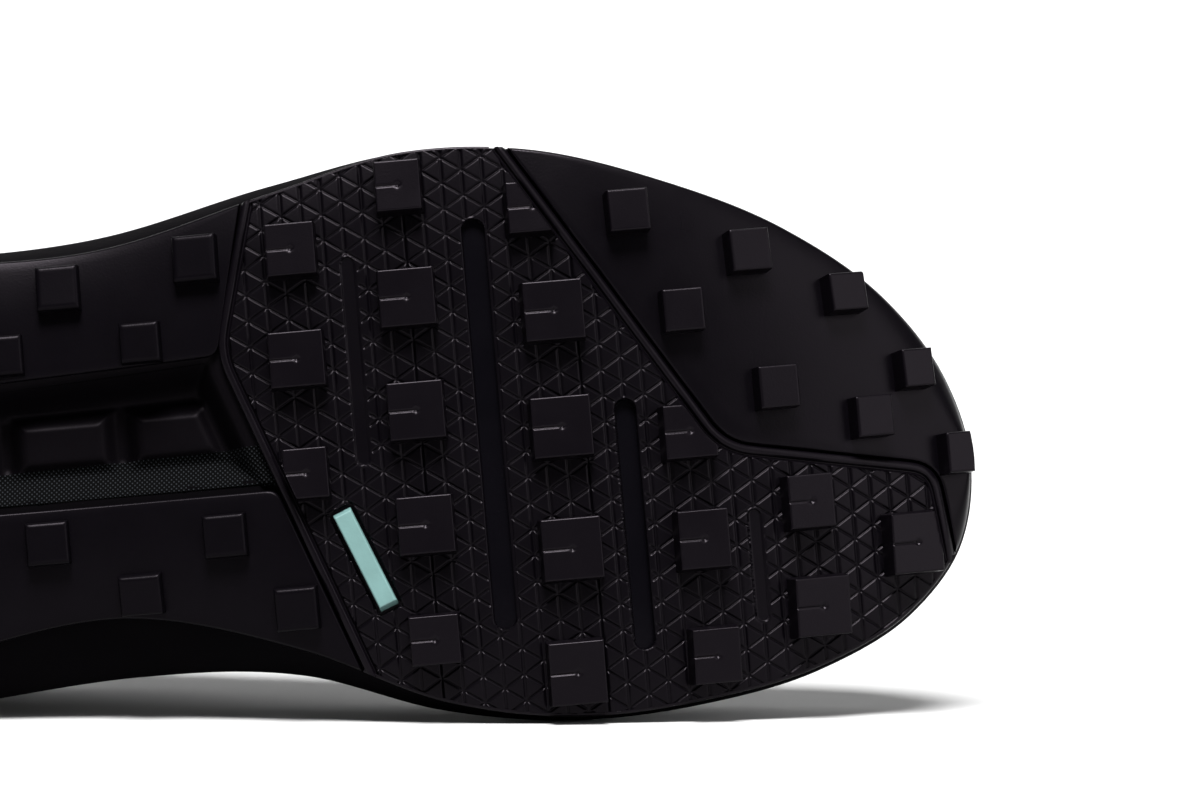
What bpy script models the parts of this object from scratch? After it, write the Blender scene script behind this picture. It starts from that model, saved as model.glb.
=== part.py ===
"""Hiking shoe for the right foot, drawn standing on its lugs and then laid on its inner side.

In the standing frame X runs from the heel to the toe, Y towards the inner side and Z up, in metres, with the tips
of the lugs on Z = 0. An empty carries every piece into the lying pose.
"""

import math

import bmesh
import bpy
import numpy as np
from mathutils import Euler, Matrix, Vector

# Driving dimensions of the sole
GAP = 0.0003
LUG_HEIGHT = 0.0040
SMALL_LUG_HEIGHT = 0.0030
LUG_ROOT = 0.0015
LUG_TAPER = 0.94
OUTSOLE = 0.0030
SLOT_DEPTH = 0.0016
PAD_GAP = 0.0008
TOE_START = 0.198
TOE_RADIUS = 0.230
HEEL_BEVEL = 0.045
HEEL_LIFT = 0.005
ARCH_MIDDLE = 0.125
ARCH_HALF = 0.050
ARCH_LIFT = 0.0025
EDGE_LIFT = 0.0025
RIM = 0.0065
INSOLE = 0.0040
CHANNEL_DEPTH = 0.0070
CHANNEL_SLOPE = 0.0040
CHANNEL_FOOT = -0.005
CORNER = 0.005
BELOW_LUGS = -0.020
ABOVE_SOLE = 0.080

# Driving dimensions of the upper
WALL = 0.0020
OVERLAY = 0.0010
OVERLAY_GAP = 0.0005
INSOLE_PLAY = 0.0006
EYELET_RADIUS = 0.0022
EYELET_PUNCH = 0.012
EYELET_PAIRS = 5
EYELET_ENDS = (0.455, 0.700)
EYELET_HEIGHT = 0.90
LACE_RADIUS = 0.0018
LACE_CLEAR = 0.0019
LACE_BROW = 0.2
TONGUE = 0.0035
TONGUE_CROWN = 0.0040
TONGUE_UNDERLAP = 0.87
TONGUE_PLAY = 0.0011
TONGUE_NECK = 0.80
TONGUE_ENDS = (0.43, 0.74)
TONGUE_STANDS = (0.0256, 0.0096)
TONGUE_TUCK = 0.0080
TONGUE_DROP = 0.0012

# Lying pose: turns about the shoe's length and then about the floor's Y, and the place of the standing origin
LIE_ROLL = math.radians(-96.32)
LIE_PITCH = math.radians(-4.92)
LIE_PLACE = Vector((-0.14921, -0.05636, 0.03809))

# Resolution of the lofts, and how many stations each overlay spans on either side of heel or toe
STATIONS = 32
ACROSS = 6
HEEL_SPAN = 5
TOE_SPAN = 7
THROAT_SPAN = 18

# Outline of the tread, a row for each station: X, then Y of the inner and the outer edge, then how far the
# widest line of the midsole's wall stands out beyond each edge
OUTLINE = np.array((
    (0.000, -0.0020, -0.0020, 0.0020, 0.0020),
    (0.004, 0.0150, -0.0190, 0.0020, 0.0020),
    (0.016, 0.0295, -0.0325, 0.0018, 0.0018),
    (0.045, 0.0380, -0.0420, 0.0015, 0.0015),
    (0.090, 0.0350, -0.0425, 0.0040, 0.0015),
    (0.138, 0.0293, -0.0426, 0.0080, 0.0030),
    (0.170, 0.0384, -0.0502, 0.0040, 0.0020),
    (0.196, 0.0504, -0.0560, 0.0010, 0.0002),
    (0.220, 0.0553, -0.0546, 0.0000, 0.0000),
    (0.245, 0.0545, -0.0466, 0.0000, 0.0000),
    (0.268, 0.0500, -0.0352, 0.0000, 0.0000),
    (0.286, 0.0412, -0.0202, 0.0000, 0.0000),
    (0.296, 0.0302, -0.0046, 0.0000, 0.0000),
    (0.300, 0.0130, 0.0130, 0.0000, 0.0000),
))

# Midsole, a row for each station: X, thickness under the foot, height of the wall above its lower edge
STACK = np.array((
    (0.000, 0.0220, 0.0330),
    (0.050, 0.0240, 0.0340),
    (0.120, 0.0220, 0.0320),
    (0.200, 0.0150, 0.0210),
    (0.260, 0.0120, 0.0170),
    (0.300, 0.0095, 0.0120),
))

# Side of the midsole from its lower edge up, a row for each ring: share of the wall's height, share of the
# swell, distance outwards. A groove runs round it at half its height.
WALL_RINGS = (
    (0.00, 0.00, -0.0010),
    (0.10, 0.45, 0.0000),
    (0.28, 1.00, 0.0005),
    (0.44, 1.00, 0.0000),
    (0.48, 1.00, -0.0016),
    (0.56, 1.00, -0.0018),
    (0.60, 1.00, -0.0008),
    (0.92, 1.00, -0.0024),
    (1.00, 1.00, -0.0038),
)

# Top edge of the upper, a row for each place from the back of the heel to the vamp: place along the side of the
# sole, X, inner Y, outer Y, Z, how far the wall leans out above the rim, length of that lean as a share of the
# height, fall of the wall at the top edge in degrees, length of that fall as a share of the way down
TOPLINE = np.array((
    (0.00, 0.0060, -0.0020, -0.0020, 0.1030, 0.0030, 0.42, 80, 0.30),
    (0.10, 0.0160, 0.0170, -0.0210, 0.1010, 0.0030, 0.42, 82, 0.30),
    (0.20, 0.0420, 0.0305, -0.0330, 0.0930, 0.0025, 0.42, 88, 0.30),
    (0.29, 0.0760, 0.0345, -0.0365, 0.0880, 0.0030, 0.42, 88, 0.30),
    (0.37, 0.1030, 0.0295, -0.0310, 0.0970, 0.0040, 0.42, 76, 0.34),
    (0.43, 0.1180, 0.0200, -0.0230, 0.1070, 0.0040, 0.44, 58, 0.38),
    (0.52, 0.1460, 0.0170, -0.0200, 0.0920, 0.0040, 0.48, 44, 0.42),
    (0.63, 0.1740, 0.0130, -0.0160, 0.0780, 0.0030, 0.55, 34, 0.46),
    (0.76, 0.1940, 0.0080, -0.0100, 0.0700, 0.0020, 0.78, 20, 0.48),
    (1.00, 0.2010, -0.0010, -0.0010, 0.0675, 0.0010, 1.25, 4, 0.50),
))
WALL_STEPS = np.array((0.0, 0.07, 0.16, 0.27, 0.40, 0.54, 0.68, 0.82, 0.91, 1.0))

# Borders between the rubber pads, from the outer to the inner side of the shoe
REAR_BORDER = ((0.1690, -0.0660), (0.1572, -0.0202), (0.1900, 0.0680))
FRONT_BORDER = ((0.2090, -0.0665), (0.2533, 0.0056), (0.2933, 0.0135), (0.2972, 0.0460))
BEYOND_TOE = 0.330
BEYOND_HEEL = -0.030

# Channel under the waist and the opening between the heel pad's wings that shows it, anticlockwise from above
CHANNEL = ((0.0720, -0.0135), (0.1160, -0.0165), (0.1545, -0.0195), (0.1645, 0.0068), (0.0720, 0.0068))
WING_OPENING = ((0.0720, -0.0135), (0.1160, -0.0165), (0.1750, -0.0212), (0.1750, 0.0068), (0.0720, 0.0068))
CHANNEL_BLOCKS = ((0.1025, 0.020), (0.1255, 0.021), (0.1470, 0.017))
BLOCK_WIDTH = 0.0115
BLOCK_HEIGHT = 0.0030
BLOCK_MIDDLE = -0.0055

# Lugs, a row for each: X, Y, length, width
FOREFOOT_LUGS = (
    (0.1735, -0.0383, 0.0101, 0.0108),
    (0.1730, -0.0173, 0.0112, 0.0114),
    (0.1730, 0.0047, 0.0090, 0.0103),
    (0.1950, -0.0487, 0.0093, 0.0105),
    (0.1950, -0.0273, 0.0114, 0.0118),
    (0.1950, -0.0055, 0.0114, 0.0118),
    (0.1950, 0.0165, 0.0114, 0.0118),
    (0.1950, 0.0383, 0.0101, 0.0100),
    (0.2200, -0.0425, 0.0104, 0.0106),
    (0.2224, -0.0224, 0.0122, 0.0122),
    (0.2221, 0.0000, 0.0122, 0.0124),
    (0.2221, 0.0235, 0.0122, 0.0126),
    (0.2212, 0.0469, 0.0114, 0.0128),
    (0.2460, 0.0030, 0.0108, 0.0110),
    (0.2469, 0.0239, 0.0105, 0.0120),
    (0.2474, 0.0460, 0.0098, 0.0112),
    (0.2675, 0.0185, 0.0097, 0.0110),
    (0.2680, 0.0386, 0.0116, 0.0120),
    (0.2867, 0.0282, 0.0112, 0.0124),
)
TOE_LUGS = (
    (0.2379, -0.0403, 0.0085, 0.0088),
    (0.2600, -0.0307, 0.0085, 0.0088),
    (0.2467, -0.0204, 0.0085, 0.0088),
    (0.2776, -0.0210, 0.0080, 0.0080),
    (0.2633, -0.0041, 0.0085, 0.0088),
    (0.2896, -0.0052, 0.0070, 0.0080),
    (0.2808, 0.0032, 0.0080, 0.0085),
    (0.2965, 0.0117, 0.0060, 0.0085),
)
HEEL_LUGS = (
    (0.1550, -0.0384, 0.0088, 0.0094),
    (0.1432, -0.0233, 0.0080, 0.0080),
    (0.1280, -0.0350, 0.0085, 0.0090),
    (0.1164, -0.0230, 0.0080, 0.0080),
    (0.1000, -0.0340, 0.0085, 0.0090),
    (0.0885, -0.0225, 0.0080, 0.0080),
    (0.1691, 0.0301, 0.0085, 0.0085),
    (0.1565, 0.0151, 0.0085, 0.0085),
    (0.1394, 0.0247, 0.0085, 0.0080),
    (0.1222, 0.0136, 0.0085, 0.0085),
    (0.1050, 0.0235, 0.0085, 0.0085),
    (0.0880, 0.0145, 0.0085, 0.0085),
    (0.0700, -0.0340, 0.0112, 0.0114),
    (0.0700, 0.0290, 0.0112, 0.0114),
    (0.0520, -0.0180, 0.0112, 0.0114),
    (0.0520, 0.0140, 0.0112, 0.0114),
    (0.0330, -0.0310, 0.0112, 0.0114),
    (0.0330, 0.0270, 0.0112, 0.0114),
    (0.0170, -0.0130, 0.0105, 0.0114),
    (0.0170, 0.0090, 0.0105, 0.0114),
)

# Flex slots, a row for each: X, Y of the middle, length, width
SLOTS = (
    (0.1840, -0.0162, 0.0405, 0.0028),
    (0.2086, -0.0021, 0.0796, 0.0046),
    (0.2347, 0.0196, 0.0486, 0.0042),
    (0.2575, 0.0297, 0.0219, 0.0027),
)
TAB_PLACE = (0.1828, 0.0219)
TAB_LENGTH = 0.0207
TAB_WIDTH = 0.0038
TAB_TURN = math.radians(-22)
TAB_STANDS = 0.0008
TAB_SINKS = 0.0014

INNER, OUTER = 1, -1
FINISHES = {
    "tread_rubber": ((0.010, 0.009, 0.011), 0.55),
    "midsole_foam": ((0.006, 0.006, 0.007), 0.75),
    "upper_textile": ((0.008, 0.008, 0.009), 0.85),
    "overlay_film": ((0.010, 0.010, 0.011), 0.50),
    "lining_textile": ((0.020, 0.020, 0.022), 0.90),
    "lace_cord": ((0.012, 0.012, 0.013), 0.80),
    "tab_rubber": ((0.380, 0.610, 0.560), 0.50),
}


def hermite(knots, values, at):
    """Smooth curve through the values at the knots, with each slope taken between its neighbours."""
    slopes = np.gradient(values, knots, axis=0)
    low = np.clip(np.searchsorted(knots, at, side="right") - 1, 0, len(knots) - 2)
    span = knots[low + 1] - knots[low]
    t = (at - knots[low]) / span
    if values.ndim > 1:
        t, span = t[..., None], span[..., None]
    rise = values[low + 1] - values[low]
    bend = (slopes[low] * (1 - t) - slopes[low + 1] * t) * span - rise * (1 - 2 * t)
    return values[low] + t * rise + t * (1 - t) * bend


def trace_side(side):
    """Dense edge of the tread from heel to toe on one side: share of its length, place, outward normal, swell."""
    near, far = (1, 2) if side == INNER else (2, 1)
    rows = OUTLINE[:, (0, near, near + 2)]
    others = OUTLINE[:, (0, far, far + 2)]
    points = np.vstack((others[2:0:-1], rows, others[-2:-4:-1]))
    knots = np.append(0, np.cumsum(np.hypot(*np.diff(points[:, :2], axis=0).T)))
    at = np.linspace(knots[2], knots[-3], 600)
    curve = hermite(knots, points, at)
    step = 1e-4
    along = (hermite(knots, points, at + step) - hermite(knots, points, at - step))[:, :2]
    along /= np.linalg.norm(along, axis=1)[:, None]
    normal = side * np.stack((-along[:, 1], along[:, 0]), 1)
    run = np.append(0, np.cumsum(np.hypot(*np.diff(curve[:, :2], axis=0).T)))
    return run / run[-1], curve[:, :2], normal, curve[:, 2]


SIDES = {side: trace_side(side) for side in (INNER, OUTER)}


def edge(side, along, swell_share, out):
    """Points in plan on one side, moved outwards from the tread's edge by a share of the swell and a distance."""
    share, place, normal, swell = SIDES[side]
    xy = np.stack([np.interp(along, share, place[:, k]) for k in (0, 1)], -1)
    away = np.stack([np.interp(along, share, normal[:, k]) for k in (0, 1)], -1)
    far = swell_share * np.interp(along, share, swell) + out
    return xy + away * far[:, None], away


def lift(x):
    """How far the tread's base rises at toe, heel and arch."""
    spring = TOE_RADIUS - np.sqrt(TOE_RADIUS ** 2 - np.clip(x - TOE_START, 0, None) ** 2)
    heel = HEEL_LIFT * (np.clip(HEEL_BEVEL - x, 0, None) / HEEL_BEVEL) ** 2
    arch = ARCH_LIFT * np.cos(np.pi / 2 * np.clip((x - ARCH_MIDDLE) / ARCH_HALF, -1, 1)) ** 2
    return spring + heel + arch


def tread(x, across):
    """Height of the tread's base between the lugs; across runs from -1 at the outer edge to 1 at the inner one."""
    return LUG_HEIGHT + lift(x) + EDGE_LIFT * across ** 4


def sole_top(x, across):
    return tread(x, across) + OUTSOLE


def footbed(x, across):
    thickness = hermite(STACK[:, 0], STACK[:, 1], np.clip(x, 0, STACK[-1, 0]))
    return LUG_HEIGHT + lift(x) + OUTSOLE + GAP + thickness + 0 * across


def wall_height(x):
    return hermite(STACK[:, 0], STACK[:, 2], np.clip(x, 0, STACK[-1, 0]))


def rim_top(x):
    return sole_top(x, 1) + GAP + wall_height(x)


ALONG = np.linspace(0, 1, STATIONS + 1)


def sheet(swell_share, out, height):
    """Grid of points inside the outline, a row for each station, from the outer to the inner edge."""
    share = (np.sin(np.linspace(-1, 1, ACROSS + 1) * np.pi / 2) + 1) / 2
    inner = edge(INNER, ALONG, swell_share, out)[0]
    outer = edge(OUTER, ALONG, swell_share, out)[0]
    xy = outer[:, None] * (1 - share)[None, :, None] + inner[:, None] * share[None, :, None]
    return np.dstack((xy, height(xy[..., 0], 2 * share[None, :] - 1)))


def ring(swell_share, out, height):
    """Closed loop of points round the outline: heel to toe on the inner side, and back on the outer one."""
    inner = edge(INNER, ALONG[:-1], swell_share, out)[0]
    outer = edge(OUTER, ALONG[:0:-1], swell_share, out)[0]
    xy = np.vstack((inner, outer))
    return np.column_stack((xy, height(xy[:, 0])))


def grid_faces(rows, columns, wrap=False, start=0):
    """Quads between neighbours of a grid of points, which may close on itself along its rows."""
    count = columns if wrap else columns - 1
    across, down = np.meshgrid(np.arange(count), np.arange(rows - 1))
    first = start + down * columns + across
    beside = start + down * columns + (across + 1) % columns
    return np.stack((first, first + columns, beside + columns, beside), -1).reshape(-1, 4)


def new_object(name, mesh, finish=None, collection="hiking_shoe"):
    thing = bpy.data.objects.new(name, mesh)
    bpy.data.collections[collection].objects.link(thing)
    thing.parent = bpy.data.objects["lying_pose"]
    if finish:
        mesh.materials.append(bpy.data.materials[finish])
    else:
        thing.hide_render = True
        thing.display_type = "WIRE"
    return thing


def mesh_from(name, points, faces, closed=True):
    """Mesh of points and faces, with poles merged and, where it is closed, its normals turned outwards."""
    form = bmesh.new()
    corners = [form.verts.new(point) for point in points]
    for face in faces:
        form.faces.new([corners[k] for k in face])
    bmesh.ops.remove_doubles(form, verts=form.verts, dist=1e-6)
    bmesh.ops.dissolve_degenerate(form, edges=form.edges, dist=1e-6)
    if closed:
        bmesh.ops.recalc_face_normals(form, faces=form.faces)
        if form.calc_volume(signed=True) < 0:
            bmesh.ops.reverse_faces(form, faces=form.faces)
    mesh = bpy.data.meshes.new(name)
    form.to_mesh(mesh)
    form.free()
    return mesh


def stacked_mesh(name, low, rings, high):
    """Closed mesh: a sheet below, rings up the side and a sheet on top, each meeting its neighbour at the edge."""
    points = np.vstack((low.reshape(-1, 3), high.reshape(-1, 3), np.vstack(rings)))
    count = len(rings[0])
    faces = list(grid_faces(*low.shape[:2]))
    faces += list(grid_faces(*high.shape[:2], start=low.shape[0] * low.shape[1]))
    faces += list(grid_faces(len(rings), count, wrap=True, start=len(points) - count * len(rings)))
    return mesh_from(name, points, faces)


def prism_mesh(name, outline, bottom, top, inset=0.0):
    """Upright prism on a plan outline that runs anticlockwise; inset draws its top in."""
    upper = shifted(outline, -inset, closed=True) if inset else outline
    low = [(x, y, bottom) for x, y in outline]
    high = [(x, y, top) for x, y in upper]
    count = len(low)
    faces = [range(count - 1, -1, -1), range(count, 2 * count)]
    faces += list(grid_faces(2, count, wrap=True))
    return mesh_from(name, low + high, faces)


def shifted(line, distance, closed=False):
    """The line moved to its right by a distance, with its corners kept."""
    points = [Vector(point) for point in line]
    moved = []
    for k, point in enumerate(points):
        before = points[k - 1] if closed or k else None
        after = points[(k + 1) % len(points)] if closed or k + 1 < len(points) else None
        sides = [(b - a).normalized() for a, b in ((before, point), (point, after)) if a and b]
        normals = [Vector((way.y, -way.x)) for way in sides]
        middle = sum(normals, Vector((0, 0))).normalized()
        moved.append(tuple(point + middle * distance / middle.dot(normals[0])))
    return moved


def rounded(line, radius, steps=4):
    """The line with each inner corner replaced by an arc that leaves it one radius before the corner."""
    result = [line[0]]
    for before, corner, after in zip(line, line[1:], line[2:]):
        corner = Vector(corner)
        start = corner + (Vector(before) - corner).normalized() * radius
        end = corner + (Vector(after) - corner).normalized() * radius
        for step in range(steps + 1):
            t = step / steps
            result.append(tuple(start * (1 - t) ** 2 + corner * 2 * t * (1 - t) + end * t ** 2))
    return result + [line[-1]]


def boolean(thing, operation, other, solver="EXACT"):
    cut = thing.modifiers.new(f"{operation.lower()}_{other.name}", "BOOLEAN")
    cut.operation = operation
    cut.object = other
    cut.solver = solver


def across_at(x, y):
    """Where a point lies between the tread's outer edge, at -1, and its inner edge, at 1."""
    inner = np.interp(x, *SIDES[INNER][1].T)
    outer = np.interp(x, *SIDES[OUTER][1].T)
    return np.clip((2 * y - inner - outer) / (inner - outer), -1, 1)


def tread_place(x, y):
    """Point on the tread's base, and the turn that lays a piece along it there."""
    step = 0.001
    ahead, behind = tread(x + step, across_at(x + step, y)), tread(x - step, across_at(x - step, y))
    left, right = tread(x, across_at(x, y + step)), tread(x, across_at(x, y - step))
    turn = Euler((math.atan((left - right) / (2 * step)), -math.atan((ahead - behind) / (2 * step)), 0))
    return Vector((x, y, tread(x, across_at(x, y)))), turn.to_matrix().to_4x4()


def lug_mesh(name, rows, height):
    """All lugs of one pad: boxes with their sides drawn in towards the tip, each square to the tread."""
    form = bmesh.new()
    for x, y, length, width in rows:
        corners = bmesh.ops.create_cube(form, size=1)["verts"]
        place, turn = tread_place(x, y)
        for corner in corners:
            tip = corner.co.z < 0
            taper = LUG_TAPER if tip else 1
            z = -height if tip else LUG_ROOT
            local = Vector((corner.co.x * length * taper, corner.co.y * width * taper, z))
            corner.co = place + turn @ local
    mesh = bpy.data.meshes.new(name)
    form.to_mesh(mesh)
    form.free()
    return mesh


def stadium(length, width, steps=5):
    """Outline of a slot along Y with round ends."""
    reach = (length - width) / 2
    points = []
    for end, first in ((1, 0), (-1, math.pi)):
        for step in range(steps + 1):
            angle = first + math.pi * step / steps
            points.append((width / 2 * math.cos(angle), end * reach + width / 2 * math.sin(angle)))
    return points


def on_tread(name, outline, place, low, high, turn=0.0):
    """Cutter or block on a plan outline, from low to high above the tread's base at a place."""
    mesh = prism_mesh(name, outline, low, high)
    point, lean = tread_place(*place)
    mesh.transform(Matrix.Translation(point) @ lean @ Matrix.Rotation(turn, 4, "Z"))
    return mesh


def bar(length, width):
    """Outline of a bar along Y."""
    x, y = width / 2, length / 2
    return [(-x, -y), (x, -y), (x, y), (-x, y)]


def build_outsole():
    """Three rubber pads cut from one curved slab, with their lugs, slots and the pocket of the tab."""
    low, high = sheet(0, 0, tread), sheet(0, 0, sole_top)
    rim = [ring(0, 0, lambda x: tread(x, 1)), ring(0, 0, lambda x: sole_top(x, 1))]
    rear, front = rounded(REAR_BORDER, CORNER), rounded(FRONT_BORDER, CORNER)
    behind, ahead = shifted(rear, -PAD_GAP), shifted(front, PAD_GAP)
    regions = {
        "forefoot": front + rear[::-1],
        "toe": [(BEYOND_TOE, ahead[0][1]), (BEYOND_TOE, ahead[-1][1])] + ahead[::-1],
        "heel": [(BEYOND_HEEL, behind[0][1])] + behind + [(BEYOND_HEEL, behind[-1][1])],
    }
    lugs = {
        "forefoot": (FOREFOOT_LUGS, LUG_HEIGHT),
        "toe": (TOE_LUGS, SMALL_LUG_HEIGHT),
        "heel": (HEEL_LUGS, LUG_HEIGHT),
    }
    pads = {}
    for region, outline in regions.items():
        name = f"outsole_{region}"
        pad = new_object(name, stacked_mesh(name, low, rim, high), "tread_rubber")
        studs = lug_mesh(f"lugs_{region}", *lugs[region])
        boolean(pad, "UNION", new_object(studs.name, studs, collection="cutters"), "MANIFOLD")
        block = prism_mesh(f"region_{region}", outline, BELOW_LUGS, ABOVE_SOLE)
        boolean(pad, "INTERSECT", new_object(block.name, block, collection="cutters"), "MANIFOLD")
        pads[region] = pad
    for number, (x, y, length, width) in enumerate(SLOTS, 1):
        mesh = on_tread(f"slot_{number}", stadium(length, width), (x, y), BELOW_LUGS, SLOT_DEPTH)
        boolean(pads["forefoot"], "DIFFERENCE", new_object(mesh.name, mesh, collection="cutters"))
    pocket = bar(TAB_LENGTH + 2 * GAP, TAB_WIDTH + 2 * GAP)
    mesh = on_tread("tab_pocket", pocket, TAB_PLACE, BELOW_LUGS, TAB_SINKS + GAP, TAB_TURN)
    boolean(pads["forefoot"], "DIFFERENCE", new_object(mesh.name, mesh, collection="cutters"))
    mesh = prism_mesh("wing_opening", WING_OPENING, BELOW_LUGS, ABOVE_SOLE)
    boolean(pads["heel"], "DIFFERENCE", new_object(mesh.name, mesh, collection="cutters"))
    tab = on_tread("grip_tab", bar(TAB_LENGTH, TAB_WIDTH), TAB_PLACE, -TAB_STANDS, TAB_SINKS, TAB_TURN)
    new_object("grip_tab", tab, "tab_rubber")


def build_midsole():
    """Foam between outsole and upper: stepped side, raised rim, footbed, and the channel with its blocks."""
    def at(share):
        return lambda x: sole_top(x, 1) + GAP + share * wall_height(x)

    rings = [ring(swell, out, at(share)) for share, swell, out in WALL_RINGS]
    rings.append(ring(1, -RIM, rim_top))
    rings.append(ring(1, -RIM, lambda x: footbed(x, 0)))
    low = sheet(WALL_RINGS[0][1], WALL_RINGS[0][2], lambda x, across: sole_top(x, across) + GAP)
    high = sheet(1, -RIM, footbed)
    midsole = new_object("midsole", stacked_mesh("midsole", low, rings, high), "midsole_foam")
    roof = LUG_HEIGHT + OUTSOLE + CHANNEL_DEPTH
    mesh = prism_mesh("channel", CHANNEL, CHANNEL_FOOT, roof, CHANNEL_SLOPE)
    boolean(midsole, "DIFFERENCE", new_object(mesh.name, mesh, collection="cutters"))
    form = bmesh.new()
    for x, length in CHANNEL_BLOCKS:
        for corner in bmesh.ops.create_cube(form, size=1)["verts"]:
            z = roof + (BLOCK_HEIGHT if corner.co.z > 0 else -BLOCK_HEIGHT)
            corner.co = (x + corner.co.x * length, BLOCK_MIDDLE + corner.co.y * BLOCK_WIDTH, z)
    mesh = bpy.data.meshes.new("channel_blocks")
    form.to_mesh(mesh)
    form.free()
    boolean(midsole, "UNION", new_object(mesh.name, mesh, collection="cutters"))


def build_insole():
    """Sheet on the footbed, inside the upper's wall."""
    inside = -RIM - GAP - WALL - INSOLE_PLAY

    def at(height):
        return lambda x, across: footbed(x, across) + height

    low, high = sheet(1, inside, at(GAP)), sheet(1, inside, at(GAP + INSOLE))
    rings = [ring(1, inside, lambda x, h=h: footbed(x, 0) + h) for h in (GAP, GAP + INSOLE)]
    new_object("insole", stacked_mesh("insole", low, rings, high), "lining_textile")


def upper_wall(side, along, up):
    """Points of the upper's outer face: curves from the rim, where up is 0, to the top edge, where it is 1.

    Each is a cubic Bezier curve that leaves the rim upwards, leaning out, and falls away from the top edge.
    """
    xy, away = edge(side, along, 1, -RIM - GAP)
    foot = np.column_stack((xy, rim_top(xy[:, 0])))
    row = hermite(TOPLINE[:, 0], TOPLINE[:, 1:], along)
    x, inner, outer, z, lean, rise, fall, reach = row.T
    top = np.column_stack((x, inner if side == INNER else outer, z))
    away = np.column_stack((away, np.zeros(len(away))))
    height = np.array((0, 0, 1)) * (top[:, 2] - foot[:, 2])[:, None]
    slope = np.radians(fall)[:, None]
    down = away * np.cos(slope) - np.array((0, 0, 1)) * np.sin(slope)
    length = (reach * np.linalg.norm(top - foot, axis=1))[:, None]
    first = foot + height * rise[:, None] + away * lean[:, None]
    second = top + down * length
    t = up[:, None, None]
    return (1 - t) ** 3 * foot + 3 * t * (1 - t) ** 2 * first + 3 * t ** 2 * (1 - t) * second + t ** 3 * top


def upper_grid():
    """Rings of the upper from inside the midsole's rim to the top edge, each closed round the shoe."""
    inner = upper_wall(INNER, ALONG[:-1], WALL_STEPS)
    outer = upper_wall(OUTER, ALONG[:0:-1], WALL_STEPS)
    rings = np.concatenate((inner, outer), axis=1)
    skirt = ring(1, -RIM - GAP, lambda x: footbed(x, 0) + GAP)
    return np.concatenate((skirt[None], rings))


def grid_normals(grid):
    """Outward normals of a grid of points that closes on itself along its rows."""
    around = np.roll(grid, -1, axis=1) - np.roll(grid, 1, axis=1)
    normal = np.cross(np.gradient(grid, axis=0), around)
    return normal / np.linalg.norm(normal, axis=2)[..., None]


def solidify(thing, thickness):
    """Wall behind the faces of an open surface."""
    wall = thing.modifiers.new("wall", "SOLIDIFY")
    wall.thickness = thickness
    wall.offset = -1
    wall.use_even_offset = True
    wall.use_quality_normals = True


def overlay(name, grid, rows, columns):
    """Thin skin over part of the upper's own grid."""
    patch = (grid + (OVERLAY_GAP + OVERLAY) * grid_normals(grid))[rows][:, columns]
    faces = grid_faces(*patch.shape[:2])
    mesh = mesh_from(name, patch.reshape(-1, 3), faces, closed=False)
    skin = new_object(name, mesh, "overlay_film")
    solidify(skin, OVERLAY)
    return skin


def wall_place(side, along, up):
    """Point of the upper's outer face and its outward normal."""
    step = 0.004
    here = upper_wall(side, np.array((along - step, along, along + step)), np.array((up - step, up)))
    normal = side * np.cross(here[1, 1] - here[0, 1], here[1, 2] - here[1, 0])
    return Vector(here[1, 1]), Vector(normal).normalized()


def eyelet_rows():
    return np.linspace(*EYELET_ENDS, EYELET_PAIRS)


def build_upper():
    """Hollow upper with its overlays and punched eyelets."""
    grid = upper_grid()
    faces = grid_faces(*grid.shape[:2], wrap=True)
    mesh = mesh_from("upper", grid.reshape(-1, 3), faces, closed=False)
    upper = new_object("upper", mesh, "upper_textile")
    solidify(upper, WALL)
    around = np.arange(-STATIONS, STATIONS)
    last = len(WALL_STEPS)
    overlay("heel_counter", grid, slice(2, last - 3), around[STATIONS - HEEL_SPAN:STATIONS + HEEL_SPAN + 1])
    overlay("toe_cap", grid, slice(2, last - 4), np.arange(STATIONS - TOE_SPAN, STATIONS + TOE_SPAN + 1))
    throat = np.arange(STATIONS - THROAT_SPAN, STATIONS + THROAT_SPAN + 1)
    eyestay = overlay("eyestay", grid, slice(last - 2, last + 1), throat)
    form = bmesh.new()
    for along in eyelet_rows():
        for side in (INNER, OUTER):
            place, normal = wall_place(side, along, EYELET_HEIGHT)
            turn = normal.to_track_quat("Z", "Y").to_matrix().to_4x4()
            turn.translation = place
            bmesh.ops.create_cone(form, cap_ends=True, segments=8, radius1=EYELET_RADIUS,
                                  radius2=EYELET_RADIUS, depth=EYELET_PUNCH, matrix=turn)
    mesh = bpy.data.meshes.new("eyelet_punch")
    form.to_mesh(mesh)
    form.free()
    punch = new_object(mesh.name, mesh, collection="cutters")
    boolean(upper, "DIFFERENCE", punch)
    boolean(eyestay, "DIFFERENCE", punch)


def throat_middle(along, above):
    """Point over the middle of the throat, a distance above the line between its edges, and the way up there."""
    inner, inner_up = wall_place(INNER, along, 1)
    outer, outer_up = wall_place(OUTER, along, 1)
    up = (inner_up + outer_up).normalized()
    return (inner + outer) / 2 + up * above, up


def tongue_section(along, count=9):
    """Points across the tongue: under the inner edge of the throat, over its crown, under the outer edge."""
    below = WALL + TONGUE_PLAY
    crown = throat_middle(along, TONGUE_CROWN - below)[0]
    points = [crown]
    for up in (1, TONGUE_UNDERLAP):
        for side in (INNER, OUTER):
            place, normal = wall_place(side, along, up)
            points.insert(0 if side == INNER else len(points), place - normal * below)
    knots = np.array((0, 0.22, 0.5, 0.78, 1))
    return hermite(knots, np.array(points), np.linspace(0, 1, count))


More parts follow.
